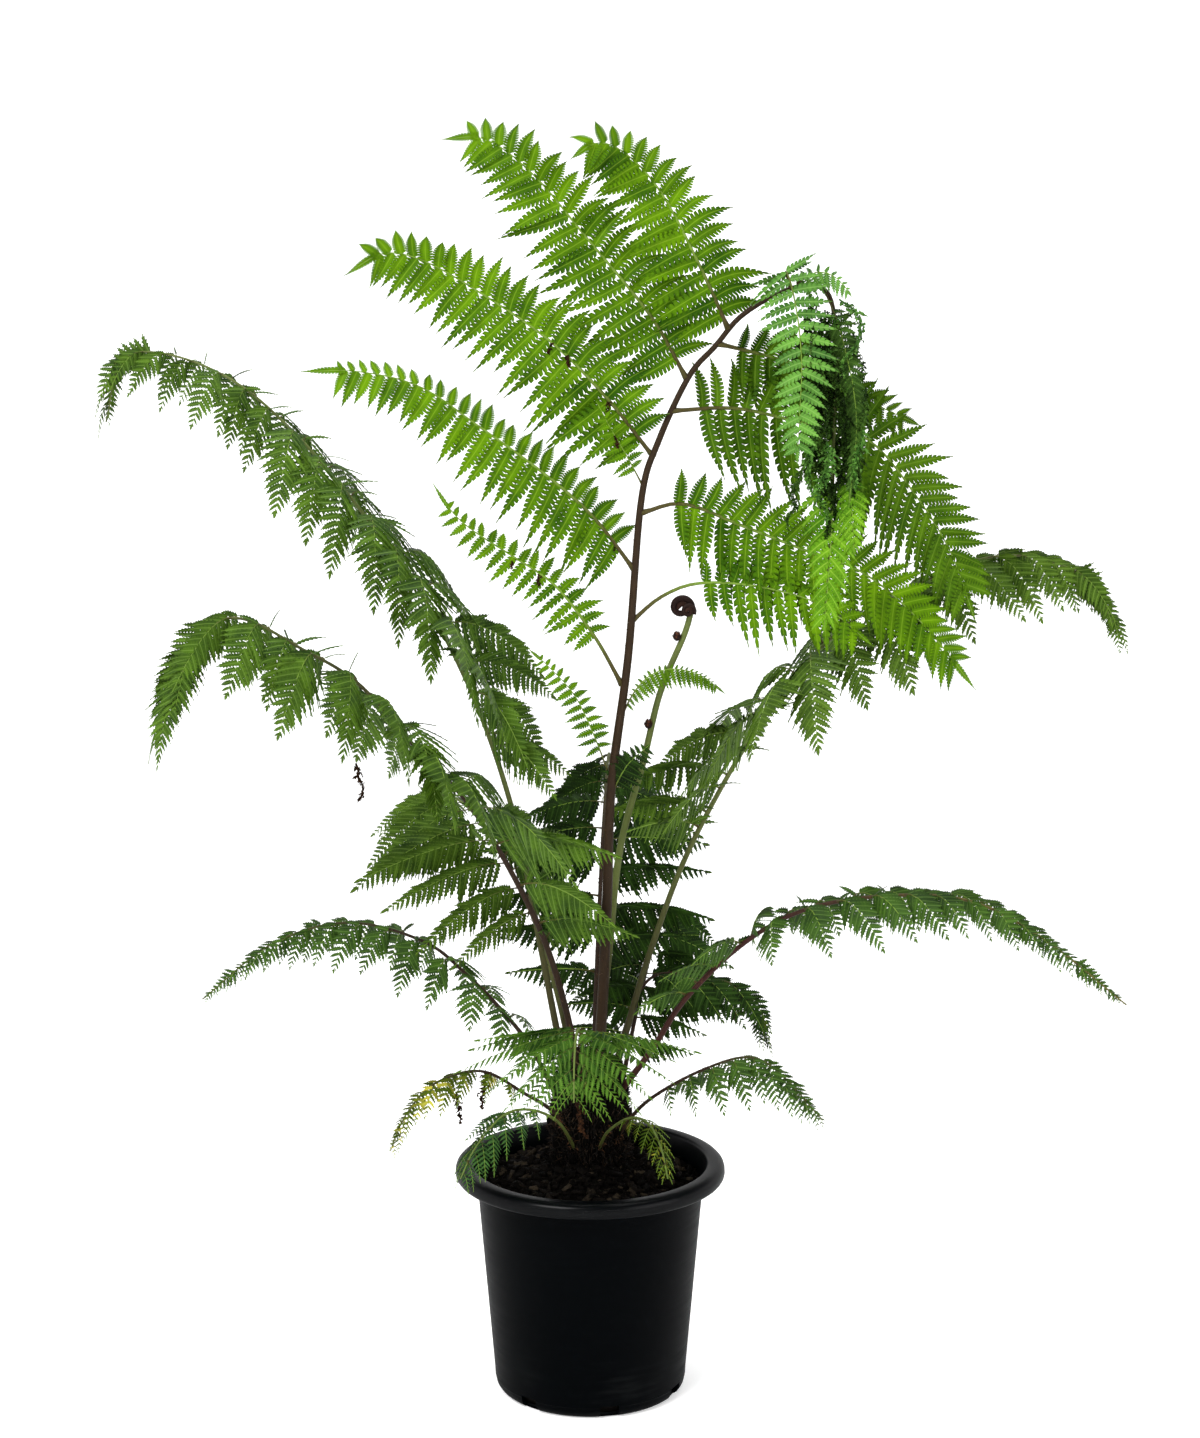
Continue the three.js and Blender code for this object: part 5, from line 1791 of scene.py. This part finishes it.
@dataclass
class Trunk:
    """The short trunk, dark and fibrous, with the stubs of old stalks."""

    node: str = "trunk"
    centre: Tuple[float, float] = (0.0, 25.0)
    foot: float = 190.0
    top: float = 424.0
    radius: float = 47.0
    stubs: int = 46
    stub_span: Tuple[float, float] = (272.0, 398.0)
    scaly_from: float = 262.0
    fibres: int = 5200

    def shape(self, height: Any) -> Any:
        """The trunk's radius at a height, as a share of its greatest.

        Args:
            height: The height.

        Returns:
            The share.
        """
        t = (np.asarray(height, float) - self.foot) / (self.top - self.foot)
        taper = np.where(t < 0.35, 0.93 + 0.2 * t, 1.0)
        dome = np.sqrt(np.maximum(0, 1 - np.clip((t - 0.6) / 0.4, 0, 1) ** 2.4))
        return taper * dome

    def build(self) -> bpy.types.Object:
        """Makes the trunk.

        Returns:
            Its object.
        """
        mesher = Mesher("fibrous_trunk", [dressed(TRUNK_BARK), dressed(TRUNK_SCALES)])
        middle = np.array([self.centre[0], self.centre[1], 0.0])
        core = Path(np.array([middle + UP * z for z in np.linspace(self.foot, self.top - 1, 40)]))
        heights = (self.foot, self.top - 1)
        mesher.tube(core, lambda t: 0.95 * self.radius * self.shape(mix(*heights, t)) + 0.4, 60, 48, 0)
        self._add_stubs(mesher, middle)
        self._add_fibres(mesher, middle)
        return mesher.build()

    def _add_stubs(self, mesher: Mesher, middle: Array) -> None:
        """Adds the broken feet of old stalks in a spiral.

        Args:
            mesher: Where they go.
            middle: The trunk's axis.
        """
        draw = Draw(17)
        for stub in range(self.stubs):
            share = stub / self.stubs
            height = mix(*self.stub_span, share)
            angle = stub * GOLDEN_TURN
            out = np.array([math.cos(angle), math.sin(angle), 0.0])
            reach = self.radius * float(self.shape(height))
            foot = middle + out * (reach - 6) + UP * height
            tip = foot + out * draw.around(8, 2.5) + UP * draw.around(13, 5)
            path = Path.bend(foot, foot + out * 6, tip)
            size = draw.around(5.2, 1.4)
            mesher.tube(path, lambda t: size * (1 - 0.35 * t**2), 5, 8, 0)

    def _add_fibres(self, mesher: Mesher, middle: Array) -> None:
        """Covers the trunk in thin dark scales and fibres.

        Args:
            mesher: Where they go.
            middle: The trunk's axis.
        """
        chance = np.random.RandomState(29)
        count = self.fibres
        heights = chance.uniform(self.scaly_from, self.top - 4, count)
        angles = 2 * math.pi * chance.rand(count)
        out = np.column_stack([np.cos(angles), np.sin(angles), np.zeros(count)])
        feet = middle + out * (self.radius * self.shape(heights) * 0.96)[:, None] + UP * heights[:, None]
        along = unit(out * chance.uniform(0.15, 0.8, (count, 1)) + UP * chance.uniform(-0.2, 1, (count, 1)))
        across = unit(np.cross(along, out + 0.4 * chance.randn(count, 3)))
        sizes = np.column_stack([chance.uniform(5, 15, count), chance.uniform(0.6, 1.8, count)])
        mesher.blades(feet, along, across, sizes, 1, chance.rand(count) ** 2.5)


DRESSED: Dict[str, bpy.types.Material] = {}


def dressed(finish: Any) -> bpy.types.Material:
    """The material of a finish, made once.

    Args:
        finish: The finish.

    Returns:
        Its material.
    """
    if finish.name not in DRESSED:
        DRESSED[finish.name] = finish.material()
    return DRESSED[finish.name]


def lathe(name: str, profile: Array, sides: int, material: bpy.types.Material) -> bpy.types.Object:
    """Turns a profile that starts and ends on the axis.

    Args:
        name: The object's name.
        profile: Radius and height, in millimetres, one point a row.
        sides: The sides of the turned shape.
        material: Its material.

    Returns:
        The object.
    """
    angles = 2 * math.pi * np.arange(sides) / sides
    rings = [
        np.column_stack([radius * np.cos(angles), radius * np.sin(angles), np.full(sides, height)])
        for radius, height in profile[1:-1]
    ]
    ends = np.array([[0.0, 0.0, profile[0][1]], [0.0, 0.0, profile[-1][1]]])
    vertices = np.vstack(rings + [ends]) * METRES
    faces: List[Tuple[int, ...]] = []
    first, last = len(vertices) - 2, len(vertices) - 1
    for side in range(sides):
        after = (side + 1) % sides
        faces.append((first, after, side))
        for ring in range(len(rings) - 1):
            a, b = ring * sides, (ring + 1) * sides
            faces.append((a + side, a + after, b + after, b + side))
        faces.append(((len(rings) - 1) * sides + side, (len(rings) - 1) * sides + after, last))
    mesh = bpy.data.meshes.new(name)
    mesh.from_pydata(vertices.tolist(), [], faces)
    mesh.materials.append(material)
    return linked(name, mesh)


def applied(piece: bpy.types.Object) -> None:
    """Makes a piece's modifiers part of its mesh.

    Args:
        piece: The piece.
    """
    graph = bpy.context.evaluated_depsgraph_get()
    mesh = bpy.data.meshes.new_from_object(piece.evaluated_get(graph))
    piece.modifiers.clear()
    piece.data = mesh


@dataclass(frozen=True)
class SoftLight:
    """A soft square light: its place, target and side in metres, and its power in watts."""

    name: str
    spot: Point
    target: Point
    size: float
    power: float

    def build(self) -> bpy.types.Object:
        """Adds the light.

        Returns:
            Its object.
        """
        data = bpy.data.lights.new(self.name, "AREA")
        data.size = self.size
        data.energy = self.power
        made = linked(self.name, data)
        made.location = self.spot
        aim = Vector(self.target) - Vector(self.spot)
        made.rotation_euler = aim.to_track_quat("-Z", "Y").to_euler()
        return made


@dataclass
class Studio:
    """The pale round floor, the soft lights and the camera."""

    eye: Point = (0.012, -3.5, 1.5)
    pitch: float = 10.72
    lens: float = 74.9
    sensor: float = 36.0
    air_light: float = 0.25
    floor_radius: float = 7.0
    floor_bend: float = 2.0
    wall_top: float = 5.0
    wall_sides: int = 72
    lights: Tuple[SoftLight, ...] = (
        SoftLight("key_light", (-1.8, -2.4, 3.6), (0, 0, 0.75), 1.8, 176.0),
        SoftLight("fill_light", (2.8, -2.0, 1.8), (0, 0, 0.7), 2.4, 45.0),
        SoftLight("top_light", (0.3, 0.7, 3.6), (0, 0, 0.8), 2.0, 90.0),
    )

    def build(self) -> None:
        """Makes everything round the plant."""
        self._camera()
        self._sweep()
        for light in self.lights:
            light.build()
        world = bpy.data.worlds.new("studio_air")
        world.use_nodes = True
        air = world.node_tree.nodes["Background"]
        air.inputs["Color"].default_value = (1.0, 1.0, 1.0, 1.0)
        air.inputs["Strength"].default_value = self.air_light
        bpy.context.scene.world = world
        bpy.context.scene.view_settings.view_transform = "Standard"

    def _camera(self) -> None:
        """Sets the camera where the photograph's was."""
        data = bpy.data.cameras.new("camera")
        data.lens = self.lens
        data.sensor_width = self.sensor
        made = linked("camera", data)
        made.location = self.eye
        made.rotation_euler = (math.radians(90 - self.pitch), 0, 0)
        bpy.context.scene.camera = made

    def _sweep(self) -> None:
        """Makes the round floor, whose edge bends up into a low wall far behind every view."""
        level, bend, sides = self.floor_radius, self.floor_bend, self.wall_sides
        rows = [(1.5, 0.0), (3.5, 0.0)]
        for angle in np.radians(np.arange(0, 91, 9)):
            rows.append((level + bend * math.sin(angle), bend * (1 - math.cos(angle))))
        rows.append((level + bend, self.wall_top))
        turns = [2 * math.pi * side / sides for side in range(sides)]
        vertices = [(radius * math.cos(turn), radius * math.sin(turn), z) for radius, z in rows for turn in turns]
        faces: List[Tuple[int, ...]] = [tuple(range(sides))]
        for row in range(len(rows) - 1):
            for side in range(sides):
                here, after = row * sides + side, row * sides + (side + 1) % sides
                faces.append((here, here + sides, after + sides, after))
        mesh = bpy.data.meshes.new("studio_sweep")
        mesh.from_pydata(vertices, [], faces)
        for polygon in mesh.polygons:
            polygon.use_smooth = True
        mesh.materials.append(dressed(SWEEP))
        linked("studio_sweep", mesh)


def settle(piece: bpy.types.Object, node: str) -> None:
    """Stands a piece in for its node: attaches it to the root body and hides the node's part.

    Args:
        piece: The piece.
        node: The frame's node.
    """
    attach(piece, BODY)
    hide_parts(node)
    LOG.info("%s stands for %s with %d faces", piece.name, node, len(piece.data.polygons))


def main() -> None:
    """Builds the plant, its pot and the studio."""
    logging.basicConfig(level=logging.INFO, format="%(message)s")
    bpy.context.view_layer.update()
    Studio().build()
    for part in (NurseryPot(), PottingMix(), Trunk(), MainFrond(), Crozier()):
        settle(part.build(), part.node)
    for shape in FRONDS:
        settle(Frond(shape).build(), shape.node)


if __name__ == "__main__":
    main()
